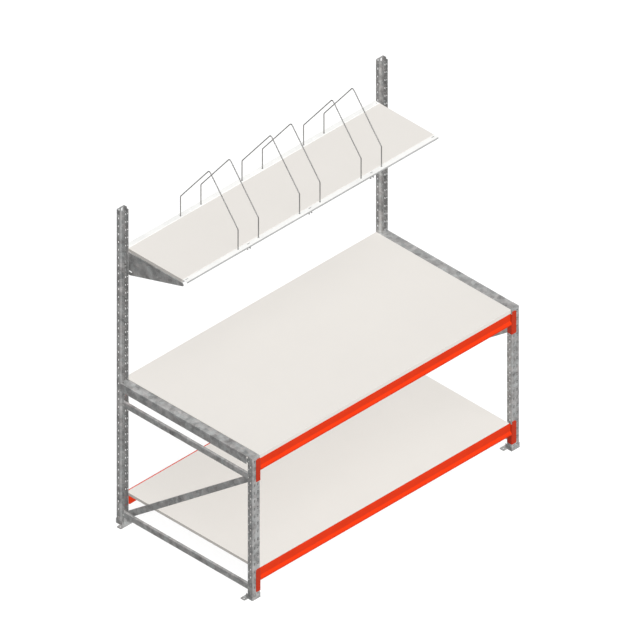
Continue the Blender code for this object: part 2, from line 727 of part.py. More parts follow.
def corners():
    """Name, x side and y side of each upright, front left first."""
    return [(f"{row}_{hand}", x_side, y_side) for row, y_side in (("front", 1), ("rear", -1))
            for hand, x_side in (("left", 1), ("right", -1))]


def corner_place(x_side, y_side):
    return (-x_side * FRAME_X, -y_side * FACE_Y, 0)


def add_posts():
    """Uprights and base plates, the same at both ends."""
    narrow = [LOW_BOLT, HIGH_BOLT, RAIL_BOLT]
    front = upright(FRONT_HEIGHT, narrow, [])
    rear = upright(REAR_HEIGHT, narrow, bracket_side_rows()[1])
    foot = base_plate()
    for name, x_side, y_side in corners():
        post = front if y_side > 0 else rear
        place = corner_place(x_side, y_side)
        add(f"upright_{name}", mirrored(post, x_side, y_side), GALVANISED, place)
        add(f"base_plate_{name}", mirrored(foot, x_side, y_side), GALVANISED, place)


def add_struts():
    """Two level struts and a diagonal in each frame, their open sides towards +x."""
    start = BOLT_Y - FACE_Y
    span, rise = FRAME_DEPTH - 2 * BOLT_Y, HIGH_BOLT - LOW_BOLT
    outer, inner = -THROAT_HALF + GAP, THROAT_HALF - GAP - STRUT_WIDTH
    level = strut(span, 0, outer)
    diagonal = strut(math.hypot(span, rise), -DIAGONAL_DROP, inner)
    for hand, x in (("left", -FRAME_X), ("right", FRAME_X)):
        add(f"lower_strut_{hand}", level.copy(), GALVANISED, (x, start, LOW_BOLT))
        add(f"upper_strut_{hand}", level.copy(), GALVANISED, (x, start, HIGH_BOLT))
        place = (x, start, HIGH_BOLT)
        add(f"diagonal_strut_{hand}", diagonal.copy(), GALVANISED, place, -math.atan2(rise, span))


def add_bolts():
    """Bolts through the throats, heads towards -x, and one in each bracket."""
    through = bolt(THROAT_WIDTH)
    levels = (("lower_strut_bolt", LOW_BOLT), ("upper_strut_bolt", HIGH_BOLT), ("rail_bolt", RAIL_BOLT))
    for name, x_side, y_side in corners():
        for level, z in levels:
            place = (-x_side * FRAME_X - THROAT_WIDTH / 2, y_side * (BOLT_Y - FACE_Y), z)
            add(f"{level}_{name}", through.copy(), ZINC, place)
    short = bolt(BRACKET_WALL + GAP + POST_WALL)
    z = bracket_side_rows()[1][0]
    seat = POST_WIDTH / 2 + GAP + BRACKET_WALL
    for hand, x_side in (("left", 1), ("right", -1)):
        place = (x_side * (seat - FRAME_X), FACE_Y - SIDE_SLOT_SET, z)
        add(f"bracket_bolt_{hand}", mirrored(short, -x_side, 1), ZINC, place)


def add_beams():
    """Four beams, and the eight connectors at their ends."""
    end = POST_WIDTH / 2 + GAP + CONNECTOR_WALL + GAP
    bar = beam(2 * (FRAME_X - end))
    for level, top in (("upper", UPPER_BEAM_TOP), ("lower", LOWER_BEAM_TOP)):
        for row, y_side in (("front", 1), ("rear", -1)):
            place = (0, y_side * (BEAM_SET - FACE_Y), top)
            add(f"{level}_beam_{row}", mirrored(bar, 1, y_side), ORANGE, place)
        plate = connector(top)
        for name, x_side, y_side in corners():
            place = corner_place(x_side, y_side)
            add(f"{level}_connector_{name}", mirrored(plate, x_side, y_side), ORANGE, place)


def add_table():
    """Worktop, lower shelf and the two side rails."""
    top = panel(BAY_WIDTH - 2 * WORKTOP_END_GAP, FRAME_DEPTH - 2 * WORKTOP_INSET, WORKTOP_THICKNESS)
    add("worktop", top, BOARD, (0, 0, TABLE_HEIGHT))
    side = GAP + CONNECTOR_WALL + SHELF_END_GAP
    front = BEAM_SET + BEAM_LIP + SHELF_SIDE_GAP
    shelf = panel(BAY_WIDTH - 2 * side, FRAME_DEPTH - 2 * front, SHELF_THICKNESS)
    add("lower_shelf", shelf, BOARD, (0, 0, LOWER_SHELF_HEIGHT))
    rail = side_rail()
    for hand, x_side in (("left", 1), ("right", -1)):
        add(f"side_rail_{hand}", mirrored(rail, x_side, 1), GALVANISED, corner_place(x_side, 1))


def add_upper_shelf():
    """Brackets, rails, cross bars, board and the six dividers."""
    arm = bracket()
    for hand, x_side in (("left", 1), ("right", -1)):
        add(f"shelf_bracket_{hand}", mirrored(arm, x_side, -1), GALVANISED, corner_place(x_side, -1))
    rail = track()
    add("divider_rail_front", rail, WHITE, (0, UPPER_FRONT, SHELF_HEIGHT))
    add("divider_rail_rear", mirrored(rail, 1, -1), WHITE, (0, UPPER_REAR, SHELF_HEIGHT))
    length = BAY_WIDTH - 2 * UPPER_END_GAP
    board = panel(length, UPPER_DEPTH - 2 * (TRACK_WIDTH + GAP), UPPER_THICKNESS)
    add("upper_shelf", board, BOARD, (0, UPPER_MIDDLE, SHELF_HEIGHT))
    for name, x in zip(("left", "middle", "right"), bar_places()):
        add(f"cross_bar_{name}", cross_bar(), GALVANISED, (x, UPPER_MIDDLE, BRACKET_TOP))
    bow = divider()
    for number, x in enumerate(wire_places(), 1):
        add(f"divider_{number}", bow.copy(), WIRE, (x, UPPER_MIDDLE, SHELF_HEIGHT))


clear_scene()
add_posts()
add_struts()
add_bolts()
add_beams()
add_table()
add_upper_shelf()
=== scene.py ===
"""Packing table in its finishes: perforated steel, painted beams, boards and wire dividers.

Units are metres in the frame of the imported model: +X runs along the table, -Y is the
working side and +Z is up. Each operator makes one group of pieces from its own sizes.
"""

import json
import math
from collections import namedtuple
from itertools import product

import bpy
import numpy as np
from bpy.props import FloatProperty, FloatVectorProperty, IntProperty, PointerProperty
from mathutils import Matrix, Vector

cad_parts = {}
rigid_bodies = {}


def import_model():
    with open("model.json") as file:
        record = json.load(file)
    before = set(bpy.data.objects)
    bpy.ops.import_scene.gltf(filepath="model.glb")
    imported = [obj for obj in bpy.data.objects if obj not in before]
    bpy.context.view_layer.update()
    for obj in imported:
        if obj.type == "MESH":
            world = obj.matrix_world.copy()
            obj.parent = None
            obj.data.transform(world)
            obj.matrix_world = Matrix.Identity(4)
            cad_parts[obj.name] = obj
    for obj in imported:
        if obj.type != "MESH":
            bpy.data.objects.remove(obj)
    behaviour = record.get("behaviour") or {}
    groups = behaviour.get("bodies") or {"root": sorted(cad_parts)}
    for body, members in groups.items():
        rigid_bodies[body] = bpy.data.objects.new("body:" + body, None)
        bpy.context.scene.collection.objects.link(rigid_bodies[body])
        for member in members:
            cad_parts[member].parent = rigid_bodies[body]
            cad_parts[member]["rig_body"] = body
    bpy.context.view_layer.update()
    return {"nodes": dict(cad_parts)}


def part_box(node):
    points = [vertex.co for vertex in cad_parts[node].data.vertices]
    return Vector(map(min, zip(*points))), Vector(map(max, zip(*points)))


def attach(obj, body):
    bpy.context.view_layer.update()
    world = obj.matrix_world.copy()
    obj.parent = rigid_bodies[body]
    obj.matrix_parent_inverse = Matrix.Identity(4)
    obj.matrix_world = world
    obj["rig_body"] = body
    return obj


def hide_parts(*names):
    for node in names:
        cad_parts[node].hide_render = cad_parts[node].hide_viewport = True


bl_info = {
    "name": "Packing Table",
    "version": (1, 0, 0),
    "blender": (4, 5, 0),
    "location": "3D View > Sidebar > Packing Table",
    "description": "Makes a packing table with a divider shelf, in its finishes, on a studio floor",
    "category": "Object",
}

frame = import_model()

HANDS = (("left", 1), ("right", -1))
ROWS = (("front", 1), ("rear", -1))
CORNERS = [(row, hand, x_side, y_side) for row, y_side in ROWS for hand, x_side in HANDS]

SUFFIXES = {"galvanised": "steel", "orange_paint": "steel", "white_paint": "steel",
            "zinc_bolt": "zinc", "white_board": "board", "divider_wire": "wire"}

GAP = 0.0003                 # between pieces that touch
TINY = 1e-6
NEAREST = 0.0008             # grid lines nearer to an end than this are left out
SHARP = math.radians(38)     # edges that turn by more are softened
THIN_EDGE, SOFT_EDGE, THICK_EDGE = 0.00025, 0.0003, 0.0004  # width of the softened edges
BEND_STEPS = 4               # in a quarter turn
HOLE_COLUMNS = 4             # cells of the grid across a hole
BOLT_BLOCK = 0.006           # half the block of cells round a bolt hole
FACE_ROW = (0.025, 0.013)    # lowest slot of an upright's face, and half its block
SIDE_ROW = (0.042, 0.010)    # the same for the slots of its side walls
ROUND_ROW = (0.012, BOLT_BLOCK)
UPRIGHT_LINES = np.array([2, 6, 9, 12, 15, 18, 25, 32, 38, 42, 46]) / 1000  # in each pitch
ROW_COUNT = 60               # pitches in the tallest upright, and more
PLATE_ROWS = (0.002, 0.030, 0.060, 0.085)  # grid lines of a bracket's plate, below its bend

Holes = namedtuple("Holes", "column rows up s w size corner taper")
Fold = namedtuple("Fold", "line normals firsts run wall")


class Span(namedtuple("Span", "low high")):
    """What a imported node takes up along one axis."""
    middle = property(lambda self: (self.low + self.high) / 2)
    size = property(lambda self: self.high - self.low)

    def start(self, side):
        """The end that a piece starts from: the low one for side 1, the high one for -1."""
        return self.low if side > 0 else self.high


def spans(node):
    """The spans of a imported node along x, y and z."""
    return [Span(*ends) for ends in zip(*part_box(node))]


def length(name, description, default):
    return FloatProperty(name=name, description=description, default=default, min=0.0,
                         unit="LENGTH", precision=4)


def angle(name, description, degrees):
    return FloatProperty(name=name, description=description, default=math.radians(degrees),
                         unit="ROTATION")


def strength(name, description, default, high=10.0):
    return FloatProperty(name=name, description=description, default=default, min=0.0, max=high,
                         precision=3)


def colour(name, description, default):
    return FloatVectorProperty(name=name, description=description, default=default,
                               subtype="COLOR", size=3, min=0.0, max=1.0)


# Sizes and colours that a user would change

class UprightSizes(bpy.types.PropertyGroup):
    width: length("Width", "Width of the face", spans("upright_front_left")[0].size)
    depth: length("Depth", "Depth of the section", spans("upright_front_left")[1].size)
    side: length("Side", "Depth of the full-width side walls", 0.023)
    throat: length("Throat", "Width of the narrow part behind", 0.035)
    wall: length("Wall", "Thickness of the steel", 0.002)
    bend: length("Bend", "Inner radius of the bends", 0.0015)
    pitch: length("Pitch", "Pitch of every row of holes", 0.050)
    slot_height: length("Slot height", "Height of a tapered slot in the face", 0.020)
    slot_top: length("Slot top", "Width of a tapered slot at its top", 0.011)
    slot_foot: length("Slot foot", "Width of a tapered slot at its foot", 0.007)
    slot_offset: length("Slot offset", "Slots from the middle of the face", 0.012)
    side_slot_width: length("Side slot width", "Width of a slot in the side walls", 0.0048)
    side_slot_height: length("Side slot height", "Height of a slot in the side walls", 0.012)
    side_set: length("Side row", "Row of holes in the side walls, from the face", 0.0145)
    bolt_hole: length("Bolt hole", "Radius of the holes for bolts", 0.0031)
    pin_hole: length("Pin hole", "Radius of the round holes in the side walls", 0.0022)
    bolt_set: length("Bolt row", "Row of holes in the throat, from its inner end", 0.0063)


class BasePlateSizes(bpy.types.PropertyGroup):
    thickness: length("Thickness", "Thickness of the floor plate", 0.004)
    tab_start: length("Tab start", "Anchor tabs, from the face of the upright", 0.030)
    corner: length("Corner", "Radius of the corners of the tabs", 0.005)
    anchor: length("Anchor hole", "Radius of the anchor holes", 0.005)
    anchor_set: length("Anchor set", "Anchor hole from the tip of its tab", 0.014)
    shoe_wall: length("Shoe wall", "Thickness of the shoe round the upright", 0.002)
    shoe_bend: length("Shoe bend", "Inner radius of the shoe's bends", 0.001)


class BeamSizes(bpy.types.PropertyGroup):
    splay: length("Splay", "How far the foot stands out from the face", 0.011)
    foot: length("Foot", "Height of the foot's own face", 0.011)
    lip: length("Lip", "Width of the lip beside the step", 0.006)
    step: length("Step", "Depth of the step that the board lies on", 0.019)
    wall: length("Wall", "Thickness of the steel", 0.0015)
    bend: length("Bend", "Inner radius of the bends", 0.0014)
    weld: length("Weld", "Size of the weld at each end", 0.0022)
    flange: length("Flange", "Width of a connector on the face of the upright", 0.034)
    rise: length("Rise", "Connector above the top of its beam", 0.017)
    connector_wall: length("Connector wall", "Thickness of a connector", 0.003)
    connector_corner: length("Connector corner", "Radius of a connector's upper corner", 0.012)
    connector_foot: length("Connector foot", "Radius of a connector's lower corner", 0.007)
    connector_bend: length("Connector bend", "Inner radius of a connector's fold", 0.002)
    pin: length("Pin hole", "Radius of the locking pin hole", 0.0025)
    pin_drop: length("Pin drop", "Pin hole below the top of the connector", 0.055)
    pin_set: length("Pin set", "Pin hole from the free edge", 0.007)


class StrutSizes(bpy.types.PropertyGroup):
    height: length("Height", "Height of a strut", 0.035)
    width: length("Width", "Width of a strut", 0.0148)
    wall: length("Wall", "Thickness of the steel", 0.0015)
    bend: length("Bend", "Inner radius of the bends", 0.001)
    end: length("End", "Strut past its bolt", 0.014)
    slack: length("Slack hole", "Radius of the holes in a diagonal strut", 0.0035)
    drop: length("Drop", "Middle of a diagonal strut below the line of its bolts", 0.0095)
    across_flats: length("Across flats", "Bolt heads and nuts, across flats", 0.010)
    head: length("Head", "Height of a bolt's head", 0.004)
    nut: length("Nut", "Height of a nut with the end of its bolt", 0.005)
    shank: length("Shank", "Radius of a bolt's shank", 0.003)


class RailSizes(bpy.types.PropertyGroup):
    wall: length("Wall", "Thickness of a side rail", 0.002)
    bend: length("Bend", "Inner radius of the bends", 0.0015)
    cap_corner: length("Cap corner", "Radius of the corners over the upright", 0.003)
    ear_wall: length("Ear wall", "Thickness of an ear", 0.0016)
    ear_bend: length("Ear bend", "Inner radius of an ear's bends", 0.001)
    ear_inside: length("Ear inside", "Length of an ear inside the upright", 0.0193)
    ear_turn: length("Ear turn", "First bend of an ear, from the upright's back", 0.006)
    ear_end: length("Ear end", "End of an ear, from the upright's back", 0.038)
    ear_height: length("Ear height", "Height of an ear", 0.026)
    ear_drop: length("Ear drop", "Ear bolts below the top of the rail", 0.038)


class ShelfSizes(bpy.types.PropertyGroup):
    track: length("Track", "Width of a divider rail", 0.034)
    lip: length("Lip", "Height of the outer lip of a divider rail", 0.010)
    ledge: length("Ledge", "Width of the ledge under the board", 0.014)
    wall: length("Wall", "Thickness of a divider rail", 0.0015)
    slot_length: length("Slot length", "Length of a slot in a divider rail", 0.020)
    slot_width: length("Slot width", "Width of a slot in a divider rail", 0.006)
    slot_pitch: length("Slot pitch", "Pitch of the slots along a divider rail", 0.452)
    line: length("Line", "Slots and wires, from the outer edge of the rail", 0.0215)
    wire_hole: length("Wire hole", "Radius of the holes that the wires stand in", 0.0034)
    arm_wall: length("Bracket wall", "Thickness of a bracket", 0.0025)
    arm_flange: length("Bracket flange", "Width of a bracket's flange", 0.025)
    arm_tip: length("Bracket tip", "Radius of a bracket's tip", 0.011)
    arm_bend: length("Bracket bend", "Inner radius of a bracket's fold", 0.0015)
    arm_free: length("Bracket free end", "Tip of a bracket past its flange", 0.012)
    arm_slot: length("Bracket slot", "Half the width of the slot in a bracket", 0.004)
    arm_slot_length: length("Slot length", "Length of the slot in a bracket", 0.024)
    arm_slot_set: length("Slot set", "Slot in a bracket, from the upright's face", 0.047)
    arm_slot_raise: length("Slot raise", "Slot in a bracket, above its foot", 0.025)
    bar_wall: length("Cross bar wall", "Thickness of a cross bar", 0.002)
    rail_bend: length("Bend", "Inner radius of the bends of rails and bars", 0.001)


class DividerSizes(bpy.types.PropertyGroup):
    radius: length("Radius", "Radius of the wire", 0.003)
    pair: length("Pair", "Between the two wires of a pair", 0.150)
    shoulder: length("Shoulder", "Height of the upright legs above the rail", 0.126)
    shoulder_bend: length("Shoulder bend", "Inner radius of the shoulders", 0.014)
    ridge_bend: length("Ridge bend", "Inner radius of the ridge", 0.008)
    collar: length("Collar", "Radius of the collar on each leg", 0.0045)
    collar_height: length("Collar height", "Height of the collar", 0.0025)
    sides: IntProperty(name="Sides", description="Sides of the wire", default=16, min=6, max=64)


class BoardSizes(bpy.types.PropertyGroup):
    corner: length("Corner", "Radius of the boards' corners", 0.0015)
    edge: length("Edge", "Rounding of the boards' edges", 0.0010)


class Finishes(bpy.types.PropertyGroup):
    zinc_dark: colour("Zinc, dark", "Darkest crystals of the zinc", (0.20, 0.197, 0.197))
    zinc_light: colour("Zinc, light", "Lightest crystals of the zinc", (0.63, 0.63, 0.625))
    crystal: length("Crystal", "Size of the zinc's crystals", 0.024)
    orange: colour("Orange", "Powder coat of the beams", (0.81, 0.043, 0.008))
    # Also used on the beams' lip tops, where it is a painted shadow line.
    red: colour("Red", "Powder coat of the connectors", (0.57, 0.043, 0.016))
    white: colour("White", "Powder coat of the divider rails", (0.93, 0.93, 0.91))
    # Grey of the divider rails' outer lips: painted shade on the lip.
    lip: colour("Lip", "Outer lips of the divider rails", (0.46, 0.46, 0.455))
    board: colour("Board", "Laminate of the boards", (0.80, 0.77, 0.73))
    band: colour("Edge band", "Edges of the boards", (0.84, 0.80, 0.75))
    backing: colour("Backing", "Undersides of the boards", (0.36, 0.35, 0.335))
    wire: colour("Wire", "Plated wire of the dividers", (0.32, 0.315, 0.31))
    bolt: colour("Bolt", "Plated bolts", (0.62, 0.62, 0.60))


class StageSizes(bpy.types.PropertyGroup):
    azimuth: angle("Azimuth", "Camera round the table", -45.0)
    elevation: angle("Elevation", "Camera above the horizon", 35.264)
    view: length("View", "Width of what the camera sees", 3.3046)
    aim: FloatVectorProperty(name="Aim", description="Middle of the picture", unit="LENGTH",
                             default=(0.0013, 0.0, 1.0602))
    distance: length("Distance", "Camera from the table", 8.0)
    floor: length("Floor", "Half width of the floor", 30.0)
    below: length("Below", "Floor below the feet", 0.0004)
    sky: strength("Sky", "Strength of the even light from all round", 0.14, 1.0)
    bounce: strength("Bounce", "How much light the floor sends back up", 0.38, 1.0)
    glow: strength("Glow", "Light added to the floor as the camera sees it", 0.08, 1.0)
    key: strength("Key", "Strength of the even key light", 3.26)
    soft: strength("Soft", "Strength of the light with shadows", 0.38)
    slope: angle("Slope", "Key light above the horizon", 53.0)
    turn: angle("Turn", "Key light round from the working side", -15.0)
    spread: angle("Spread", "How wide the lights are", 50.0)


class PackingTable(bpy.types.PropertyGroup):
    upright: PointerProperty(type=UprightSizes)
    base_plate: PointerProperty(type=BasePlateSizes)
    beam: PointerProperty(type=BeamSizes)
    strut: PointerProperty(type=StrutSizes)
    rail: PointerProperty(type=RailSizes)
    shelf: PointerProperty(type=ShelfSizes)
    divider: PointerProperty(type=DividerSizes)
    board: PointerProperty(type=BoardSizes)
    finish: PointerProperty(type=Finishes)
    stage: PointerProperty(type=StageSizes)


# Shapes worked out with numpy

def run_of(points):
    """Distance of each point along its line: the running sum of the steps' lengths."""
    return np.r_[0.0, np.cumsum(np.linalg.norm(np.diff(points, axis=0), axis=1))]


def folded(corners, wall, inner, lines=None, closed=False):
    """Stations along a sheet folded at its corners: points, left normals, walls' first stations.

    Straight walls are joined by circles that touch both: a point on a bend is
    centre - side * radius * n, where n is the wall's left normal turned by an even share of
    the bend. The sheet lies to the left, so a left turn has the outer radius, inner + wall.
    Lines gives the stations that a wall has besides, by their distance from its first corner.
    """
    corners = np.asarray(corners, float)
    ends = np.roll(corners, -1, axis=0) if closed else corners[1:]
    starts = corners if closed else corners[:-1]
    heading = (ends - starts) / np.linalg.norm(ends - starts, axis=1)[:, None]
    normal = np.stack([-heading[:, 1], heading[:, 0]], 1)
    following = np.roll(heading, -1, axis=0)
    turns = np.arctan2(np.cross(heading, following), (heading * following).sum(1))
    points, normals, firsts = [], [], []
    if not closed:
        points, normals = [corners[:1]], [normal[:1]]
    for k in range(len(heading)):
        firsts.append(sum(len(part) for part in points))
        along = np.asarray((lines or {}).get(k, ()), float)[:, None]
        points.append(starts[k] + along * heading[k])
        normals.append(np.repeat(normal[k:k + 1], len(along), 0))
        if closed or k < len(heading) - 1:
            side, size = np.sign(turns[k]), abs(turns[k])
            radius = inner + (wall if side > 0 else 0.0)
            centre = ends[k] - radius * math.tan(size / 2) * heading[k] + side * radius * normal[k]
            count = max(1, round(BEND_STEPS * size / (math.pi / 2)))
            angles = np.linspace(0, turns[k], count + 1)[:, None]
            normals.append(np.cos(angles) * normal[k] - np.sin(angles) * heading[k])
            points.append(centre - side * radius * normals[-1])
    if not closed:
        points.append(corners[-1:])
        normals.append(normal[-1:])
    line = np.concatenate(points)
    return Fold(line, np.concatenate(normals), firsts, run_of(line), wall)


def on_fold(fold, s):
    """Points and left normals at the distances s along a fold."""
    return [np.stack([np.interp(s, fold.run, side[:, k]) for k in (0, 1)], 1)
            for side in (fold.line, fold.normals)]


def laid(flat, w, along):
    """Points (u, v) of a plane, set at w along the axis that the plane is across."""
    u, v = flat[..., 0], flat[..., 1]
    w = np.broadcast_to(w, u.shape)
    return np.stack({"x": (w, u, v), "y": (u, w, v), "z": (u, v, w)}[along], -1)


def lines_between(low, high, lines):
    """Grid lines from low to high: the two ends and the given lines that lie well inside."""
    lines = np.asarray(lines, float)
    inside = lines[(lines > low + NEAREST) & (lines < high - NEAREST)]
    return np.unique(np.round(np.r_[low, inside, high], 7))


def block(centres, reach, count=HOLE_COLUMNS + 1):
    """Grid lines over holes: centre + reach * t, for an even row of t from -1 to 1."""
    return (np.atleast_1d(centres)[:, None] + reach * np.linspace(-1, 1, count)).ravel()


def pitch_rows(upright, first, low, top):
    """Heights first + pitch * k that lie between two heights."""
    rows = first + upright.pitch * np.arange(ROW_COUNT)
    return rows[(rows > low) & (rows < top)]


def holes_at(fold, w_lines, column, centres, reach, size, corner, taper=0.0):
    """Holes of one kind along w. Each takes four columns, and the rows within its reach."""
    centres = np.asarray(centres, float)
    rows = np.searchsorted(w_lines, centres - reach - TINY)
    up = int(np.searchsorted(w_lines, centres[0] + reach - TINY) - rows[0])
    middle = fold.run[column + HOLE_COLUMNS // 2]
    return Holes(column, rows, up, middle, centres, size, corner, taper)


def round_hole(radius):
    """Size and corner radius of a round hole."""
    return (2 * radius, 2 * radius), radius


def perforated(s_lines, w_lines, holes, notches=()):
    """Grid of a flat sheet with holes: points (s, w), quads and the count of grid points.

    Round the block of cells that a hole takes, u and v run from -1 to 1. The point
    (u * sqrt(1 - v * v / 2), v * sqrt(1 - u * u / 2)) lies on a circle, and the hole's edge is
    corner times that point, moved out by half the size less the corner on each side, so four
    quarter circles are joined by straight lines. A taper widens it upwards. A notch leaves
    out the cells between two values of s and two of w.
    """
    columns, rows = len(s_lines), len(w_lines)
    index = np.arange(columns * rows).reshape(rows, columns)
    points = [np.stack(np.meshgrid(s_lines, w_lines), -1).reshape(-1, 2)]
    cell_s, cell_w = [(lines[:-1] + lines[1:]) / 2 for lines in (s_lines, w_lines)]
    kept = np.ones((rows - 1, columns - 1), bool)
    for s_low, s_high, w_low, w_high in notches:
        across = (cell_s > s_low) & (cell_s < s_high)
        kept[np.ix_((cell_w > w_low) & (cell_w < w_high), across)] = False
    quads, total, wide = [], columns * rows, HOLE_COLUMNS
    for kind in holes:
        up, count = kind.up, len(kind.rows)
        i = np.r_[np.arange(wide), np.full(up, wide), np.arange(wide, 0, -1), np.zeros(up, int)]
        j = np.r_[np.zeros(wide, int), np.arange(up), np.full(wide, up), np.arange(up, 0, -1)]
        u, v = 2 * i / wide - 1, 2 * j / up - 1
        round_u, round_v = u * np.sqrt(1 - v * v / 2), v * np.sqrt(1 - u * u / 2)
        half_s, half_w = kind.size[0] / 2, kind.size[1] / 2
        edge_w = np.sign(round_v) * (half_w - kind.corner) + kind.corner * round_v
        reach = half_s - kind.corner + kind.taper * edge_w / half_w
        edge_s = kind.s + np.sign(round_u) * reach + kind.corner * round_u
        edge_s = np.broadcast_to(edge_s, (count, len(u)))
        points.append(np.stack([edge_s, kind.w[:, None] + edge_w], -1).reshape(-1, 2))
        rim = index[kind.rows[:, None] + j, kind.column + i]
        edge = total + np.arange(edge_s.size).reshape(edge_s.shape)
        total += edge_s.size
        ring = np.stack([rim, np.roll(rim, -1, 1), np.roll(edge, -1, 1), edge], -1)
        quads.append(ring.reshape(-1, 4))
        taken = np.arange(up)[None, :, None] + kind.rows[:, None, None]
        kept[taken, kind.column + np.arange(wide)[None, None, :]] = False
    cells = np.stack([index[:-1, :-1], index[:-1, 1:], index[1:, 1:], index[1:, :-1]], -1)
    quads.append(cells[kept])
    return np.concatenate(points), np.concatenate(quads), columns * rows


def round_corner(points, centre, radius, sides):
    """Draws the points in one corner's square onto its quarter disc.

    With u and v from 0 at the centre to 1 at the sheet's edges, a point goes to
    centre + radius * (u * sqrt(1 - v * v / 2), v * sqrt(1 - u * u / 2)).
    """
    u, v = ((points - centre) * sides / radius).T
    past_edge = 1.001
    inside = (u > 0) & (v > 0) & (u < past_edge) & (v < past_edge)
    u, v = np.clip(u, 0, 1), np.clip(v, 0, 1)
    disc = np.stack([u * np.sqrt(1 - v * v / 2), v * np.sqrt(1 - u * u / 2)], 1)
    return np.where(inside[:, None], centre + radius * disc * sides, points)


def walled(outer, inner, quads):
    """Closed shell between two sides of a sheet: a rim joins them wherever a side ends.

    A directed edge whose reverse no other quad has is on the sheet's border.
    """
    used, quads = np.unique(quads, return_inverse=True)
    quads, count = quads.reshape(-1, 4), len(used)
    a, b = quads.ravel(), np.roll(quads, -1, 1).ravel()
    border = ~np.isin(a * count + b, b * count + a)
    a, b = a[border], b[border]
    rims = np.stack([b, a, a + count, b + count], 1)
    faces = np.concatenate([quads, quads[:, ::-1] + count, rims])
    return np.concatenate([outer[used], inner[used]]), faces, []


def sheet(fold, along, w_lines, holes=(), notches=(), rounded=()):
    """A perforated sheet laid along a fold: s runs along the fold, w along an axis.

    The outer side is line(s), and the inner side is line(s) + wall * normal(s).
    """
    points, quads, _ = perforated(fold.run, np.asarray(w_lines, float), holes, notches)
    for centre, radius, sides in rounded:
        points = round_corner(points, centre, radius, sides)
    line, normals = on_fold(fold, points[:, 0])
    outer, inner = (laid(line + wall * normals, points[:, 1], along) for wall in (0.0, fold.wall))
    return walled(outer, inner, quads)


def profile_run(rings, cyclic=False):
    """Shell through rings of points: neighbours are joined by quads, and the two ends are capped.

    A cyclic run joins its last ring to its first, as a tube's outer and inner sides do.
    """
    count, sides = rings.shape[:2]
    index = np.arange(count * sides).reshape(count, sides)
    following = np.roll(index, -1, 0) if cyclic else index[1:]
    first = index if cyclic else index[:-1]
    quads = np.stack([first, np.roll(first, -1, 1), np.roll(following, -1, 1), following], -1)
    caps = [] if cyclic else [index[0][::-1], index[-1]]
    return rings.reshape(-1, 3), quads.reshape(-1, 4), caps


def hooks(wall, foot, top, reach, rows, middle, thickness, along):
    """Flat hooks at the heights of their rows, of a thickness along an axis.

    Each passes through its slot, stands on its foot and drops behind the wall by as much as
    it reaches past it, its corners cut. Its outline has depth behind the wall's outer face,
    and height.
    """
    play, root, end, cut = 0.0004, -0.0015, wall + reach, 0.3 * reach
    nose = wall + play
    outline = np.array([(root, top), (end - cut, top), (end, top - cut), (end, foot - reach + cut),
                        (end - cut, foot - reach), (nose + cut / 3, foot - reach),
                        (nose, foot - reach + cut), (nose, foot + GAP), (root, foot + GAP)])
    faces = middle + thickness / 2 * np.array([[-1], [1]])
    return [profile_run(laid(np.stack(2 * [outline + (0, row)]), faces, along)) for row in rows]


def placed(shell, offset, sides=(1, 1, 1)):
    """The shell mirrored where a side is -1, and moved."""
    points, quads, caps = shell
    return points * np.asarray(sides) + np.asarray(offset), quads, caps


def turned(shell, around):
    """The shell turned about the X axis: y and z rotate by the angle."""
    points, quads, caps = shell
    c, s = math.cos(around), math.sin(around)
    return points @ np.array([[1, 0, 0], [0, c, s], [0, -s, c]]), quads, caps


def outward(shell):
    """Faces as lists, turned round if the volume, the sum of a . (b x c) / 6, is negative."""
    points, quads, caps = shell
    a, b, c, d = (points[quads[:, k]] for k in range(4))
    volume = (a * (np.cross(b, c) + np.cross(c, d))).sum()
    for cap in caps:
        fan = points[cap]
        volume += (np.cross(fan[1:-1], fan[2:]) * fan[0]).sum()
    faces = quads.tolist() + [list(map(int, cap)) for cap in caps]
    return [face[::-1] for face in faces] if volume < 0 else faces


def dress(node, slot, shells, finish, at=(0, 0, 0), sides=(1, 1, 1), soften=SOFT_EDGE, segments=1):
    """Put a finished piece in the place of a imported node, riding on the node's body.

    Its shells are first mirrored where a side is -1, and moved.
    """
    points, faces = [], []
    for shell in shells:
        shell = placed(shell, at, sides)
        start = sum(len(part) for part in points)
        faces += [[start + corner for corner in face] for face in outward(shell)]
        points.append(shell[0])
    name = f"{node}_{SUFFIXES[slot]}"
    mesh = bpy.data.meshes.new(name)
    mesh.from_pydata(np.concatenate(points), [], faces)
    mesh.shade_smooth()
    mesh.materials.append(finish)
    piece = bpy.data.objects.new(name, mesh)
    bpy.context.scene.collection.objects.link(piece)
    if soften:
        bevel = piece.modifiers.new("Softened edges", "BEVEL")
        bevel.limit_method = "ANGLE"
        bevel.angle_limit = SHARP
        bevel.width = soften
        bevel.segments = segments
    piece.modifiers.new("Flat walls", "WEIGHTED_NORMAL")
    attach(piece, frame["nodes"][node]["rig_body"])
    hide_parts(node)
    return piece


def second_finish(piece, finish, chosen):
    """Give one more material to the faces that chosen(centres, normals) picks."""
    polygons = piece.data.polygons
    piece.data.materials.append(finish)
    centres, normals = np.zeros((2, len(polygons) * 3))
    slots = np.zeros(len(polygons), np.int32)
    polygons.foreach_get("center", centres)
    polygons.foreach_get("normal", normals)
    polygons.foreach_get("material_index", slots)
    picked = chosen(centres.reshape(-1, 3), normals.reshape(-1, 3))
    polygons.foreach_set("material_index", np.where(picked, len(piece.data.materials) - 1, slots))


# Materials

def fed(tree, node, inputs):
    """Fill a node's inputs with values or links."""
    for name, value in inputs.items():
        if isinstance(value, bpy.types.NodeSocket):
            tree.links.new(value, node.inputs[name])
        else:
            node.inputs[name].default_value = value
    return node


def node_in(tree, kind, inputs=None, **settings):
    """Add a node with its settings, and fill its inputs."""
    made = tree.nodes.new(kind)
    for name, value in settings.items():
        setattr(made, name, value)
    return fed(tree, made, inputs or {})


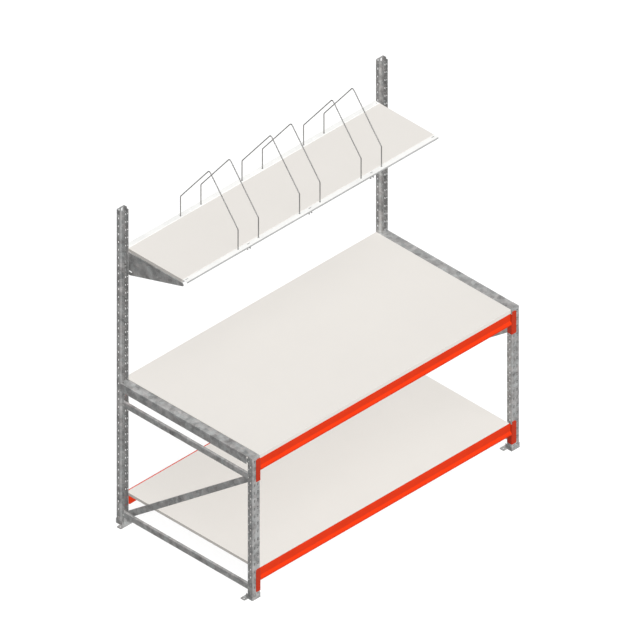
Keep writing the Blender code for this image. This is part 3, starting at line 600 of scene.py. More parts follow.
def group(name, fill, *sizes):
    """A shader node group, built once. It takes a vector and sizes, and gives what fill returns."""
    tree = bpy.data.node_groups.get(name)
    if tree:
        return tree
    tree = bpy.data.node_groups.new(name, "ShaderNodeTree")
    for label in ("Vector", *sizes):
        kind = "NodeSocketVector" if label == "Vector" else "NodeSocketFloat"
        tree.interface.new_socket(label, in_out="INPUT", socket_type=kind)
    results = fill(tree, tree.nodes.new("NodeGroupInput").outputs)
    for label in results:
        tree.interface.new_socket(label, in_out="OUTPUT", socket_type="NodeSocketFloat")
    node_in(tree, "NodeGroupOutput", results)
    return tree


def grouped(tree, place, name, fill, **sizes):
    """What a shader node group puts out at a place, with its sizes."""
    return node_in(tree, "ShaderNodeGroup", {"Vector": place, **sizes},
                   node_tree=group(name, fill, *sizes)).outputs


def maths(tree, operation, a, b=0.0):
    return node_in(tree, "ShaderNodeMath", {0: a, 1: b}, operation=operation).outputs[0]


def weighed(tree, *parts):
    """Sum of sockets, each times its weight."""
    total = 0.0
    for socket, weight in parts:
        total = maths(tree, "ADD", maths(tree, "MULTIPLY", socket, weight), total)
    return total


def ranged(tree, value, low, high, to_low=0.0, to_high=1.0):
    made = node_in(tree, "ShaderNodeMapRange", {"Value": value, "From Min": low, "From Max": high,
                                                "To Min": to_low, "To Max": to_high})
    return made.outputs["Result"]


def noise(tree, vector, size, detail=2.0, roughness=0.5):
    made = node_in(tree, "ShaderNodeTexNoise", {"Vector": vector, "Detail": detail,
                                                "Roughness": roughness, "Scale": 1 / size})
    return made.outputs["Fac"]


def mixed(tree, factor, first, second, blend="MIX"):
    """Colours mixed by a factor. A Mix node's sockets 0, 6 and 7 are its factor and its colours."""
    return node_in(tree, "ShaderNodeMix", {0: factor, 6: first, 7: second}, data_type="RGBA",
                   blend_type=blend).outputs[2]


def spangle(tree, start):
    """Crystals of zinc: each cell has its own shade, over larger cloudy patches.

    The cells' edges wander, since their places are pulled about by a noise.
    """
    waves, wander = 60.0, 0.006
    drift = node_in(tree, "ShaderNodeTexNoise", {"Vector": start["Vector"], "Scale": waves})
    pull = node_in(tree, "ShaderNodeVectorMath", {0: drift.outputs["Color"], 1: 3 * (wander,)},
                   operation="MULTIPLY")
    spot = node_in(tree, "ShaderNodeVectorMath", {0: start["Vector"], 1: pull.outputs[0]},
                   operation="ADD")
    scale = maths(tree, "DIVIDE", 1.0, start["Crystal"])
    cells = node_in(tree, "ShaderNodeTexVoronoi", {"Vector": spot.outputs[0], "Scale": scale})
    parts = node_in(tree, "ShaderNodeSeparateColor", {"Color": cells.outputs["Color"]})
    cloud = noise(tree, start["Vector"], size=0.055, detail=3.0, roughness=0.55)
    fine = noise(tree, start["Vector"], size=0.007, detail=3.0, roughness=0.6)
    cloud, fine = ranged(tree, cloud, 0.32, 0.68), ranged(tree, fine, 0.35, 0.65)
    return {"Shade": weighed(tree, (parts.outputs["Red"], 0.35), (cloud, 0.45), (fine, 0.20)),
            "Tint": parts.outputs["Green"], "Crystal height": parts.outputs["Blue"]}


def coat(tree, start):
    """Powder coat: fine orange peel in the height, and a slow drift of shade."""
    drift = noise(tree, start["Vector"], size=0.12, detail=3.0)
    marks = noise(tree, start["Vector"], size=0.02, detail=5.0, roughness=0.7)
    return {"Height": noise(tree, start["Vector"], size=0.0016),
            "Drift": ranged(tree, drift, 0.3, 0.7), "Marks": ranged(tree, marks, 0.62, 0.78)}


def laminate(tree, start):
    """Melamine laminate: pale flecks, a slow drift and a faint pebbled press texture."""
    fleck = noise(tree, start["Vector"], size=0.0035, detail=3.0, roughness=0.65)
    drift = noise(tree, start["Vector"], size=0.35, detail=3.0)
    fleck, drift = ranged(tree, fleck, 0.35, 0.65), ranged(tree, drift, 0.3, 0.7)
    return {"Shade": weighed(tree, (fleck, 0.45), (drift, 0.55)),
            "Height": noise(tree, start["Vector"], size=0.0012, detail=1.0)}


def material(name, fill):
    """A material with one Principled shader: fill(tree, object coordinates) returns its inputs."""
    made = bpy.data.materials.get(name)
    if made:
        return made
    made = bpy.data.materials.new(name)
    made.use_nodes = True
    tree = made.node_tree
    place = tree.nodes.new("ShaderNodeTexCoord").outputs["Object"]
    fed(tree, tree.nodes["Principled BSDF"], fill(tree, place))
    return made


def bumped(tree, height, amount, distance):
    return node_in(tree, "ShaderNodeBump", {"Strength": amount, "Distance": distance,
                                            "Height": height}).outputs["Normal"]


def shades(base, factor=1.0):
    """A colour made lighter or darker, with an alpha of 1."""
    return tuple(min(1.0, channel * factor) for channel in base) + (1.0,)


def grey(value):
    return (value, value, value, 1.0)


def galvanised():
    """Zinc with crystals: their shade sets colour and gloss, and a faint tint varies it."""
    finish = bpy.context.scene.packing_table.finish

    def fill(tree, place):
        crystals = grouped(tree, place, "Zinc crystals", spangle, Crystal=finish.crystal)
        shade, tint, height = (crystals[name] for name in ("Shade", "Tint", "Crystal height"))
        zinc = mixed(tree, shade, shades(finish.zinc_dark), shades(finish.zinc_light))
        warm = mixed(tree, tint, (0.97, 1.0, 1.0, 1.0), (1.03, 1.0, 0.99, 1.0))
        return {"Base Color": mixed(tree, 1.0, zinc, warm, "MULTIPLY"),
                "Roughness": ranged(tree, shade, 0.0, 1.0, 0.58, 0.40),
                "Normal": bumped(tree, height, 0.10, 0.0004),
                "Metallic": 0.2, "Specular IOR Level": 0.3}

    return material("Galvanised steel", fill)


def powder(name, base, rough=0.42):
    """Powder coat. Light that bounces off it is a dull grey, so boards beside it stay pale."""
    def fill(tree, place):
        layer = grouped(tree, place, "Powder coat", coat)
        paint = mixed(tree, layer["Drift"], shades(base, 0.95), shades(base, 1.05))
        bounced = node_in(tree, "ShaderNodeLightPath").outputs["Is Diffuse Ray"]
        return {"Base Color": mixed(tree, bounced, paint, grey(sum(base) / 3)),
                "Roughness": ranged(tree, layer["Marks"], 0.0, 1.0, rough, rough + 0.12),
                "Normal": bumped(tree, layer["Height"], 0.12, 0.0002),
                "Specular IOR Level": 0.2, "Specular Tint": shades(base, 1.1)}

    return material(name, fill)


def red_coat():
    return powder("Red powder coat", bpy.context.scene.packing_table.finish.red)


def board_face(name, base):
    """Laminate in a colour, its flecks a little lighter and darker."""
    def fill(tree, place):
        layer = grouped(tree, place, "Laminate", laminate)
        shade = layer["Shade"]
        return {"Base Color": mixed(tree, shade, shades(base, 0.985), shades(base, 1.015)),
                "Roughness": ranged(tree, shade, 0.0, 1.0, 0.52, 0.44),
                "Normal": bumped(tree, layer["Height"], 0.06, 0.0001),
                "Specular IOR Level": 0.3}

    return material(name, fill)


def plated(name, base, rough, grain):
    """Drawn or turned metal with thin zinc: fine grain in the height and uneven gloss."""
    def fill(tree, place):
        fine, patches = noise(tree, place, grain, detail=3.0), noise(tree, place, size=0.02)
        return {"Base Color": mixed(tree, patches, shades(base, 0.85), shades(base, 1.15)),
                "Roughness": ranged(tree, fine, 0.3, 0.7, rough - 0.06, rough + 0.08),
                "Normal": bumped(tree, fine, 0.08, 0.0001), "Metallic": 0.8}

    return material(name, fill)


# Operators, one for each group of like pieces

class PACKING_OT_uprights(bpy.types.Operator):
    """Roll-formed uprights with all their rows of holes"""
    bl_idname = "packing.uprights"
    bl_label = "Uprights"

    def shell(self, sizes, foot, top, bolt):
        """The perforated sheet. Its side walls have a hole for the bolt nearest to a height.

        Walls 0 and 6 are the throat, 1 and 5 slant, 2 and 4 are the sides and 3 is the face.
        """
        throat_block, face_block, face_corner, side_corner = 0.0042, 0.0085, 0.0015, 0.0012
        half, throat = sizes.width / 2, sizes.throat / 2
        bend = sizes.side + half - throat
        side = [(throat, sizes.depth), (throat, bend), (half, sizes.side), (half, 0)]
        ends = block(sizes.bolt_set, throat_block)
        column = block(sizes.side - sizes.side_set, BOLT_BLOCK)
        fold = folded([(-x, y) for x, y in side] + side[::-1], sizes.wall, sizes.bend, {
            0: ends, 2: column, 4: sizes.side - column[::-1], 6: sizes.depth - bend - ends[::-1],
            3: block(half + sizes.slot_offset * np.array([-1, 1]), face_block)})
        pitches = sizes.pitch * np.arange(math.ceil(top / sizes.pitch) + 1)
        w_lines = lines_between(foot, top, (pitches[:, None] + UPRIGHT_LINES).ravel())
        face, slots, rounds = (pitch_rows(sizes, first, foot + reach, top - reach - 0.001)
                               for first, reach in (FACE_ROW, SIDE_ROW, ROUND_ROW))
        bolted = np.abs(rounds - bolt) < sizes.pitch / 2
        wide, narrow = sizes.slot_top, sizes.slot_foot
        tapered = ((wide + narrow) / 2, sizes.slot_height), face_corner, (wide - narrow) / 4
        slot = (sizes.side_slot_width, sizes.side_slot_height), side_corner
        kinds = [(3, skip, face, FACE_ROW[1], *tapered) for skip in (0, HOLE_COLUMNS + 1)]
        for wall in (2, 4):
            kinds += [(wall, 0, slots, SIDE_ROW[1], *slot),
                      (wall, 0, rounds[~bolted], BOLT_BLOCK, *round_hole(sizes.pin_hole)),
                      (wall, 0, rounds[bolted], BOLT_BLOCK, *round_hole(sizes.bolt_hole))]
        kinds += [(wall, 0, rounds, BOLT_BLOCK, *round_hole(sizes.bolt_hole)) for wall in (0, 6)]
        return sheet(fold, "z", w_lines, [
            holes_at(fold, w_lines, fold.firsts[wall] + skip, rows, *rest)
            for wall, skip, rows, *rest in kinds if len(rows)])

    def execute(self, context):
        sizes = context.scene.packing_table.upright
        for row, hand, x_side, y_side in CORNERS:
            node = f"upright_{row}_{hand}"
            x, y, z = spans(node)
            shell = self.shell(sizes, z.low, z.high, spans(f"bracket_bolt_{hand}")[2].middle)
            dress(node, "galvanised", [shell], galvanised(), (x.middle, y.start(y_side), 0),
                  (x_side, y_side, 1), THIN_EDGE)
        return {"FINISHED"}


class PACKING_OT_beams(bpy.types.Operator):
    """Closed step beams with rounded bends and a weld at each end"""
    bl_idname = "packing.beams"
    bl_label = "Beams"

    def section(self, sizes, depth, height):
        """Corners (y, z) of the section, anticlockwise from the foot: y inwards, z from the top."""
        splay = sizes.foot + sizes.splay - height
        return [(-sizes.splay, -height), (depth, -height), (depth, -sizes.step),
                (sizes.lip, -sizes.step), (sizes.lip, 0), (0, 0), (0, splay),
                (-sizes.splay, sizes.foot - height)]

    def weld(self, sizes, fold, end, side):
        """Fillet down the web: a quarter circle in the corner, its radius swelling along the seam.

        The seam runs from the lip's outer bend, at the end of wall 4, to the splay's upper one.
        """
        swell, waves, sunk = 0.15, 1400, 0.25
        first, last = (fold.run[fold.firsts[wall] - 1] for wall in (5, 6))
        line, normals = on_fold(fold, np.linspace(first, last, 41))
        radius = sizes.weld * (1 + swell * np.sin(run_of(line) * waves))[:, None]
        turns = np.linspace(0, math.pi / 2, 6)
        reach, rise = np.r_[1.0, np.cos(turns), 0.0], np.r_[-sunk, np.sin(turns), -sunk]
        flat = line[:, None, :] - normals[:, None, :] * (rise * radius)[..., None]
        return profile_run(laid(flat, end + side * reach * radius, "x"))

    def execute(self, context):
        sizes, painted_shadow_band = context.scene.packing_table.beam, 0.0012
        orange = powder("Orange powder coat", context.scene.packing_table.finish.orange)
        for level, (row, y_side) in product(("upper", "lower"), ROWS):
            node = f"{level}_beam_{row}"
            x, y, z = spans(node)
            corners = self.section(sizes, y.size - sizes.splay, z.size)
            fold = folded(corners, sizes.wall, sizes.bend, closed=True)
            outer, inner = fold.line, fold.line + fold.wall * fold.normals
            ends = np.array([x.low, x.high, x.high, x.low])[:, None]
            tube = laid(np.stack([outer, outer, inner, inner]), ends, "x")
            welds = [self.weld(sizes, fold, x.start(side), side) for side in (1, -1)]
            piece = dress(node, "orange_paint", [profile_run(tube, cyclic=True), *welds], orange,
                          (0, y.start(y_side) + y_side * sizes.splay, z.high), (1, y_side, 1))
            # The lip's top faces take the connectors' darker red: a painted shadow line along the
            # top of each beam.
            second_finish(piece, red_coat(), lambda centres, normals: (
                (centres[:, 2] > z.high - painted_shadow_band) & (normals[:, 2] > 0.5)))
        return {"FINISHED"}


class PACKING_OT_connectors(bpy.types.Operator):
    """Angle plates with rounded corners, a pin hole and hooks for the uprights"""
    bl_idname = "packing.connectors"
    bl_label = "Connectors"

    def plate(self, sizes, reach, height):
        """The folded plate: x from its outer corner back, y inwards, z up from its foot."""
        corner, foot, fin = sizes.connector_corner, sizes.connector_foot, sizes.connector_corner / 2
        pin, fin_top, pin_block = height - sizes.pin_drop, height - sizes.rise, 0.004
        flange_lines = np.r_[block(sizes.pin_set, pin_block), corner, 1.5 * corner]
        fin_lines = fin * np.array([1, 2 / 3, 1 / 3, 0])
        fold = folded([(-sizes.flange, 0), (0, 0), (0, reach)], sizes.connector_wall,
                      sizes.connector_bend, {0: flange_lines, 1: reach - fin_lines[:3]})
        ease = np.array([0.15, 0.35, 0.6, 0.8, 1.0])
        w_lines = lines_between(0, height, np.r_[foot * ease, height - corner * ease,
                                                 block(pin, pin_block), fin_top - fin_lines])
        hole = holes_at(fold, w_lines, fold.firsts[0], [pin], pin_block, *round_hole(sizes.pin))
        bend, end = fold.run[fold.firsts[0] + len(flange_lines)], fold.run[-1]
        return sheet(fold, "z", w_lines, [hole], [(bend, math.inf, fin_top, math.inf)], (
            ((foot, foot), foot, (-1, -1)), ((corner, height - corner), corner, (-1, 1)),
            ((end - fin, fin), fin, (1, -1)), ((end - fin, fin_top - fin), fin, (1, 1))))

    def execute(self, context):
        sizes, upright = context.scene.packing_table.beam, context.scene.packing_table.upright
        lowest, highest, hook_top, hook_reach, hook_wall = 0.018, 0.012, 0.003, 0.006, 0.005
        for level, (row, hand, x_side, y_side) in product(("upper", "lower"), CORNERS):
            node = f"{level}_connector_{row}_{hand}"
            x, y, z = spans(node)
            post_x, post_y, _ = spans(f"upright_{row}_{hand}")
            sides = (x_side, y_side, 1)
            plate = self.plate(sizes, y.size, z.size)
            rows = pitch_rows(upright, FACE_ROW[0], z.low + lowest, z.high - highest)
            shells = hooks(upright.wall, -upright.slot_height / 2, hook_top, hook_reach, rows,
                           upright.slot_offset, hook_wall, "x")
            face = y.start(y_side)
            shells = [placed(hook, (post_x.middle, post_y.start(y_side), 0), sides)
                      for hook in shells] + [placed(plate, (x.start(-x_side), face, z.low), sides)]
            dress(node, "orange_paint", shells, red_coat(), soften=THICK_EDGE, segments=2)
        return {"FINISHED"}


class PACKING_OT_base_plates(bpy.types.Operator):
    """Floor plates with anchor tabs, and the shoes round the uprights"""
    bl_idname = "packing.base_plates"
    bl_label = "Base plates"

    def plate(self, sizes, outer, tab, front, back):
        """Flat plate across x, laid along y, its two tabs with rounded corners."""
        start, corner, anchor_block = sizes.tab_start, sizes.corner, 0.009
        ease = corner * np.array([0.3, 0.6, 1.0])
        spots, middle = (tab - sizes.anchor_set) * np.array([-1, 1]), (start + back) / 2
        columns = tab + lines_between(-tab, tab, np.r_[block(spots, anchor_block), -outer, outer,
                                                       tab - ease, ease - tab])
        rows = lines_between(front, back, np.r_[block(middle, anchor_block), start, back - ease,
                                                start + ease])
        fold = folded([(-tab, 0), (tab, 0)], sizes.thickness, 0.0, {0: columns[1:-1]})
        hole = anchor_block, *round_hole(sizes.anchor)
        holes = [holes_at(fold, rows, first, [middle], *hole)
                 for first in np.searchsorted(columns, tab + spots - anchor_block - TINY)]
        notches = [(-math.inf, tab - outer, -math.inf, start),
                   (tab + outer, math.inf, -math.inf, start)]
        rounded = [((tab + side * (tab - corner), edge - way * corner), corner, (side, way))
                   for side, (edge, way) in product((-1, 1), ((start, -1), (back, 1)))]
        return sheet(fold, "y", rows, holes, notches, rounded)

    def execute(self, context):
        sizes, upright = context.scene.packing_table.base_plate, context.scene.packing_table.upright
        for row, hand, x_side, y_side in CORNERS:
            node = f"base_plate_{row}_{hand}"
            x, y, z = spans(node)
            face = spans(f"upright_{row}_{hand}")[1].start(y_side)
            front = -abs(face - y.start(y_side))
            outer, depth = upright.width / 2 - front, upright.depth
            plate = self.plate(sizes, outer, x.size / 2, front, y.size + front)
            path = [(-outer, depth), (-outer, front), (outer, front), (outer, depth)]
            fold = folded(path, sizes.shoe_wall, sizes.shoe_bend)
            shoe = sheet(fold, "z", [sizes.thickness / 2, z.high])
            dress(node, "galvanised", [plate, shoe], galvanised(), (x.middle, face, 0),
                  (x_side, y_side, 1))
        return {"FINISHED"}


class PACKING_OT_struts(bpy.types.Operator):
    """Channels that brace the end frames, with a bolt hole at each end"""
    bl_idname = "packing.struts"
    bl_label = "Struts"

    def channel(self, sizes, hole, span):
        """Channel along y from bolt to bolt, open towards +x, its web at x = 0."""
        high = sizes.height / 2
        path = [(sizes.width, high), (0, high), (0, -high), (sizes.width, -high)]
        fold = folded(path, sizes.wall, sizes.bend, {1: block(high, BOLT_BLOCK)})
        ends = [0, span]
        w_lines = lines_between(-sizes.end, span + sizes.end, block(ends, BOLT_BLOCK))
        holes = holes_at(fold, w_lines, fold.firsts[1], ends, BOLT_BLOCK, *round_hole(hole))
        return sheet(fold, "y", w_lines, [holes])

    def execute(self, context):
        sizes = context.scene.packing_table.strut
        hole = context.scene.packing_table.upright.bolt_hole
        for hand, _ in HANDS:
            for level in ("lower", "upper"):
                node = f"{level}_strut_{hand}"
                x, y, z = spans(node)
                start, span, top = y.low + sizes.end, y.size - 2 * sizes.end, z.middle
                dress(node, "galvanised", [self.channel(sizes, hole, span)], galvanised(),
                      (x.low, start, top))
            node = f"diagonal_strut_{hand}"
            rise = top - spans(f"lower_strut_bolt_front_{hand}")[2].middle
            channel = self.channel(sizes, sizes.slack, math.hypot(span, rise))
            channel = turned(placed(channel, (0, 0, -sizes.drop)), -math.atan2(rise, span))
            dress(node, "galvanised", [channel], galvanised(), (spans(node)[0].low, start, top))
        return {"FINISHED"}


class PACKING_OT_bolts(bpy.types.Operator):
    """Hexagon bolts with their nuts"""
    bl_idname = "packing.bolts"
    bl_label = "Bolts"

    def shell(self, sizes, end):
        """Rings along x: a hexagon trimmed by a cone, so its corners are chamfered.

        At the angle t a hexagon of half width h is h / cos(t - nearest flat), and the radius
        there is the least of the hexagon, the cone and, for round parts, the circle.
        """
        turns = np.linspace(0, 2 * math.pi, 36, endpoint=False)
        half, shank, flat = sizes.across_flats / 2, sizes.shank, math.pi / 3
        cut, chamfer = 0.1, 0.0006
        hexagon = half / np.cos(turns - np.round(turns / flat) * flat)
        corner, nut, tip = half / math.cos(flat / 2), end - sizes.nut, end - 2 * chamfer
        x, limits = np.array([
            (0, half * (1 - cut)), (chamfer, corner), (sizes.head, corner), (sizes.head, shank),
            (nut, shank), (nut, corner), (end - 0.0007, corner), (end, half * 0.88),
            (end, shank * 1.08), (tip, shank * 1.02), (tip, shank * (1 - cut)),
            (end - 0.0004, shank * 0.72)]).T[..., None]
        circle = np.stack([np.cos(turns), np.sin(turns)], -1)
        return profile_run(laid(np.minimum(hexagon, limits)[..., None] * circle, x, "x"))

    def execute(self, context):
        sizes = context.scene.packing_table.strut
        finish = plated("Plated bolts", context.scene.packing_table.finish.bolt, 0.32, 0.0012)
        kinds = ("lower_strut_bolt", "upper_strut_bolt", "rail_bolt")
        nodes = [f"{kind}_{row}_{hand}" for kind, (row, hand, *_) in product(kinds, CORNERS)]
        for node in nodes + [f"bracket_bolt_{hand}" for hand, _ in HANDS]:
            x, y, z = spans(node)
            side = -1 if node == "bracket_bolt_left" else 1
            dress(node, "zinc_bolt", [self.shell(sizes, x.size)], finish,
                  (x.start(side), y.middle, z.middle), (side, 1, 1), 0.4 * SOFT_EDGE)
        return {"FINISHED"}


class PACKING_OT_side_rails(bpy.types.Operator):
    """Folded covers of the end frames, with their caps and ears"""
    bl_idname = "packing.side_rails"
    bl_label = "Side rails"

    def cover(self, sizes, half, height, start, end):
        path = [(half, -height), (half, 0), (-half, 0), (-half, -height)]
        return sheet(folded(path, sizes.wall, sizes.bend), "y", np.linspace(start, end, 9))

    def cap(self, sizes, half, end):
        """Flat plate over an upright, with two rounded corners at its free end."""
        corner, far = sizes.cap_corner, 2 * half - sizes.cap_corner
        ease = corner * np.array([1 / 3, 2 / 3, 1])
        fold = folded([(half, 0), (-half, 0)], sizes.wall, 0.0,
                      {0: np.r_[ease, 2 * half - ease[::-1]]})
        return sheet(fold, "y", lines_between(0, end, ease), rounded=[
            ((s, corner), corner, (side, -1)) for s, side in ((corner, -1), (far, 1))])

    def ear(self, sizes, upright, start, side, half):
        """One ear, standing along z: from the rail's flange round into the throat."""
        throat, seam = upright.throat / 2 - upright.wall - GAP, half - sizes.wall / 4
        path = [(side * throat, start - sizes.ear_inside), (side * throat, start + sizes.ear_turn),
                (side * seam, start + 4 * sizes.ear_turn), (side * seam, start + sizes.ear_end)]
        fold = folded(path[::side], sizes.ear_wall, sizes.ear_bend)
        return sheet(fold, "z", block(0, sizes.ear_height / 2, 2))

    def execute(self, context):
        sizes, upright = context.scene.packing_table.rail, context.scene.packing_table.upright
        for hand, _ in HANDS:
            x, y, z = spans(f"side_rail_{hand}")
            half, front = x.size / 2, spans(f"upright_front_{hand}")[1].low
            start, depth = upright.depth + GAP, spans(f"upright_rear_{hand}")[1].high - front
            shells = [self.cover(sizes, half, z.size, start, y.high - front),
                      self.cap(sizes, half, start)]
            for side in (-1, 1):
                ear = placed(self.ear(sizes, upright, start, side, half), (0, 0, -sizes.ear_drop))
                shells += [ear, placed(ear, (0, depth, 0), (1, -1, 1))]
            dress(f"side_rail_{hand}", "galvanised", shells, galvanised(),
                  (x.middle, front, z.high))
        return {"FINISHED"}


class PACKING_OT_boards(bpy.types.Operator):
    """Worktop, lower shelf and upper shelf, with softened edges"""
    bl_idname = "packing.boards"
    bl_label = "Boards"

    def shell(self, sizes, x, y, z):
        """Rings of a rounded rectangle, drawn in by edge * (1 - sin t) towards the top and foot."""
        turns = np.linspace(0, math.pi / 2, 5)
        insets, rise = sizes.edge * (1 - np.sin(turns)), sizes.edge * (1 - np.cos(turns))
        heights = np.r_[z.low + rise, (z.high - rise)[::-1]]
        rings = []
        for inset in (*insets, *insets[::-1]):
            (left, right), (near, far) = ((s.low + inset, s.high - inset) for s in (x, y))
            corners = [(left, near), (right, near), (right, far), (left, far)]
            rings.append(folded(corners, 0.0, sizes.corner, closed=True).line)
        return profile_run(laid(np.stack(rings), heights[:, None], "z"))

    def execute(self, context):
        table, steep = context.scene.packing_table, 0.8
        face, band, back = (board_face(name, base) for name, base in (
            ("Board laminate", table.finish.board), ("Board edge band", table.finish.band),
            ("Board backing", table.finish.backing)))
        for node in ("worktop", "lower_shelf", "upper_shelf"):
            shell = self.shell(table.board, *spans(node))
            piece = dress(node, "white_board", [shell], face, soften=0.0)
            second_finish(piece, band, lambda centres, normals: np.abs(normals[:, 2]) < steep)
            second_finish(piece, back, lambda centres, normals: normals[:, 2] < -steep)
        return {"FINISHED"}


class PACKING_OT_brackets(bpy.types.Operator):
    """Tapered brackets that carry the upper shelf"""
    bl_idname = "packing.brackets"
    bl_label = "Shelf brackets"

    def edges(self, sizes, upright, root, reach, y):
        """Depths of the plate's two edges below its top, at the distance y from the upright's face.

        The lower edge slopes from the root to a circle at the tip that it touches, so its slope
        is atan2(drop, length) - asin(tip / hypot(drop, length)). Past the circle's centre both
        edges follow it: depth = tip +- sqrt(tip * tip - (y - centre) * (y - centre)).
        """
        tip, centre = sizes.arm_tip, reach - sizes.arm_tip
        drop, span = root - tip, centre - upright.depth
        slope = math.atan2(drop, span) - math.asin(tip / math.hypot(drop, span))
        bow = np.sqrt(np.clip(tip * tip - np.clip(y - centre, -tip, tip) ** 2, 0, None))
        lower = root - np.clip(y - upright.depth, 0, None) * math.tan(slope)
        lower = np.where(y > centre + tip * math.sin(slope), tip + bow, lower)
        return np.where(y > centre, tip - bow, 0.0), lower

    def shell(self, sizes, upright, root, reach, back):
        """Flange and plate: x from the plate's near side, y from the upright's face, z down.

        A point of the plate keeps its share of the depth between the plate's two edges, and a
        point of the flange follows the fold.
        """
        free, bend, slot = reach - sizes.arm_free, sizes.arm_bend + sizes.arm_wall, sizes.arm_slot
        rows = np.r_[PLATE_ROWS, block(root - bend - sizes.arm_slot_raise, 2.2 * slot)]
        fold = folded([(sizes.arm_flange, 0), (0, 0), (0, -root)], sizes.arm_wall, sizes.arm_bend,
                      {1: bend + rows})
        top = fold.run[fold.firsts[1] - 1]
        slot_reach = sizes.arm_slot_length / 2 + 1.5 * slot
        turns = np.radians([0, 15, 30, 45, 60, 72, 80, 87])
        w_lines = np.unique(np.round(np.r_[
            back, block(sizes.arm_slot_set, slot_reach, 7), np.linspace(0.09, 0.39, 7), free,
            free + 3 * GAP, reach - sizes.arm_tip + sizes.arm_tip * np.sin(turns)], 7))
        hole = holes_at(fold, w_lines, fold.firsts[1] + len(PLATE_ROWS), [sizes.arm_slot_set],
                        slot_reach, (2 * slot, sizes.arm_slot_length), slot - 10 * TINY)
        notch = (-math.inf, top, free, math.inf)
        points, quads, count = perforated(fold.run, w_lines, [hole], [notch])
        s, y = points.T
        depth = s - top
        upper, lower = self.edges(sizes, upright, root, reach, y)
        upper = np.where(y > free + 10 * TINY, upper, bend)
        eased = upper + np.clip(depth / (root - bend), 0, 1) * (lower - upper)
        depths = np.where(np.arange(len(points)) < count, eased, depth + bend)
        line, normals = on_fold(fold, s)
        outer, inner = (np.where(depth[:, None] < -TINY, line + wall * normals,
                                 np.stack([np.full(len(y), wall), -depths], 1))
                        for wall in (0.0, fold.wall))
        return walled(laid(outer, y, "y"), laid(inner, y, "y"), quads)

    def execute(self, context):
        sizes, upright = context.scene.packing_table.shelf, context.scene.packing_table.upright
        lowest, highest, hook_top, hook_reach, hook_wall = 0.020, 0.014, 0.002, 0.005, 0.004
        for hand, x_side in HANDS:
            node = f"shelf_bracket_{hand}"
            _, y, z = spans(node)
            post_x, post_y, _ = spans(f"upright_rear_{hand}")
            face, near, sides = post_y.high, post_x.start(-x_side), (x_side, -1, 1)
            shell = self.shell(sizes, upright, z.size, face - y.low, face - y.high)
            rows = pitch_rows(upright, SIDE_ROW[0], z.low + lowest, z.high - highest)
            shells = hooks(upright.wall, -upright.side_slot_height / 2, hook_top, hook_reach, rows,
                           upright.side_set, hook_wall, "y")
            shells = [placed(hook, (near, face, 0), (-x_side, -1, 1)) for hook in shells]
            shells.append(placed(shell, (near + x_side * GAP, face, z.high), sides))
            dress(node, "galvanised", shells, galvanised(), soften=THICK_EDGE, segments=2)
        return {"FINISHED"}


class PACKING_OT_divider_rails(bpy.types.Operator):
    """White rails of the upper shelf, with slots and the dividers' holes"""
    bl_idname = "packing.divider_rails"
    bl_label = "Divider rails"

    def shell(self, sizes, pair, half, drop):
        """The folded rail along x: ledge, inner wall, top and outer lip.

        Its grid lines are even, but for those of its slots and of the holes for wires.
        """
        depth, ledge = sizes.track, sizes.wall - drop
        hole_block, past_slot, clear = 0.005, 0.004, 0.0015
        path = [(depth + sizes.ledge, ledge), (depth, ledge), (depth, 0), (0, 0), (0, -sizes.lip)]
        fold = folded(path, sizes.wall, sizes.rail_bend, {2: block(depth - sizes.line, hole_block)})
        count = math.floor((half - sizes.slot_length) / sizes.slot_pitch)
        slots = sizes.slot_pitch * np.arange(-count, count + 1)
        wires = block(sizes.slot_pitch * np.array([-1, 0, 1]), pair / 2, 2)
        slot_reach = sizes.slot_length / 2 + past_slot
        even = np.linspace(-half, half, 33)
        for centres, reach in ((slots, slot_reach), (wires, BOLT_BLOCK)):
            even = even[np.abs(even[:, None] - centres).min(1) > reach + clear]
        w_lines = lines_between(-half, half, np.r_[even, block(slots, slot_reach, 7),
                                                   block(wires, BOLT_BLOCK)])
        slot = (sizes.slot_width, sizes.slot_length), sizes.slot_width / 2 - 10 * TINY
        kinds = ((slots, slot_reach, *slot), (wires, BOLT_BLOCK, *round_hole(sizes.wire_hole)))
        return sheet(fold, "x", w_lines, [holes_at(fold, w_lines, fold.firsts[2], *kind)
                                          for kind in kinds])

    def execute(self, context):
        table, outwards = context.scene.packing_table, 0.35
        white = powder("White powder coat", table.finish.white, 0.40)
        # Grey coat for the lips: painted shade, not a second paint.
        lip = powder("Grey lip painted shade", table.finish.lip, 0.45)
        for row, y_side in ROWS:
            x, y, z = spans(f"divider_rail_{row}")
            shell = self.shell(table.shelf, table.divider.pair, x.size / 2, z.size)
            piece = dress(f"divider_rail_{row}", "white_paint", [shell], white,
                          (x.middle, y.start(y_side), z.high), (1, y_side, 1), THIN_EDGE)
            # The outward faces of the outer lip take the grey, which paints shade onto the lip.
            second_finish(piece, lip, lambda centres, normals: normals[:, 1] * y_side < -outwards)
        return {"FINISHED"}


class PACKING_OT_cross_bars(bpy.types.Operator):
    """Channels under the upper shelf, from rail to rail"""
    bl_idname = "packing.cross_bars"
    bl_label = "Cross bars"

    def execute(self, context):
        sizes = context.scene.packing_table.shelf
        for node in ("cross_bar_left", "cross_bar_middle", "cross_bar_right"):
            x, y, z = spans(node)
            path = [(x.high, z.low), (x.high, z.high), (x.low, z.high), (x.low, z.low)]
            fold = folded(path, sizes.bar_wall, sizes.rail_bend)
            dress(node, "galvanised", [sheet(fold, "y", y)], galvanised())
        return {"FINISHED"}


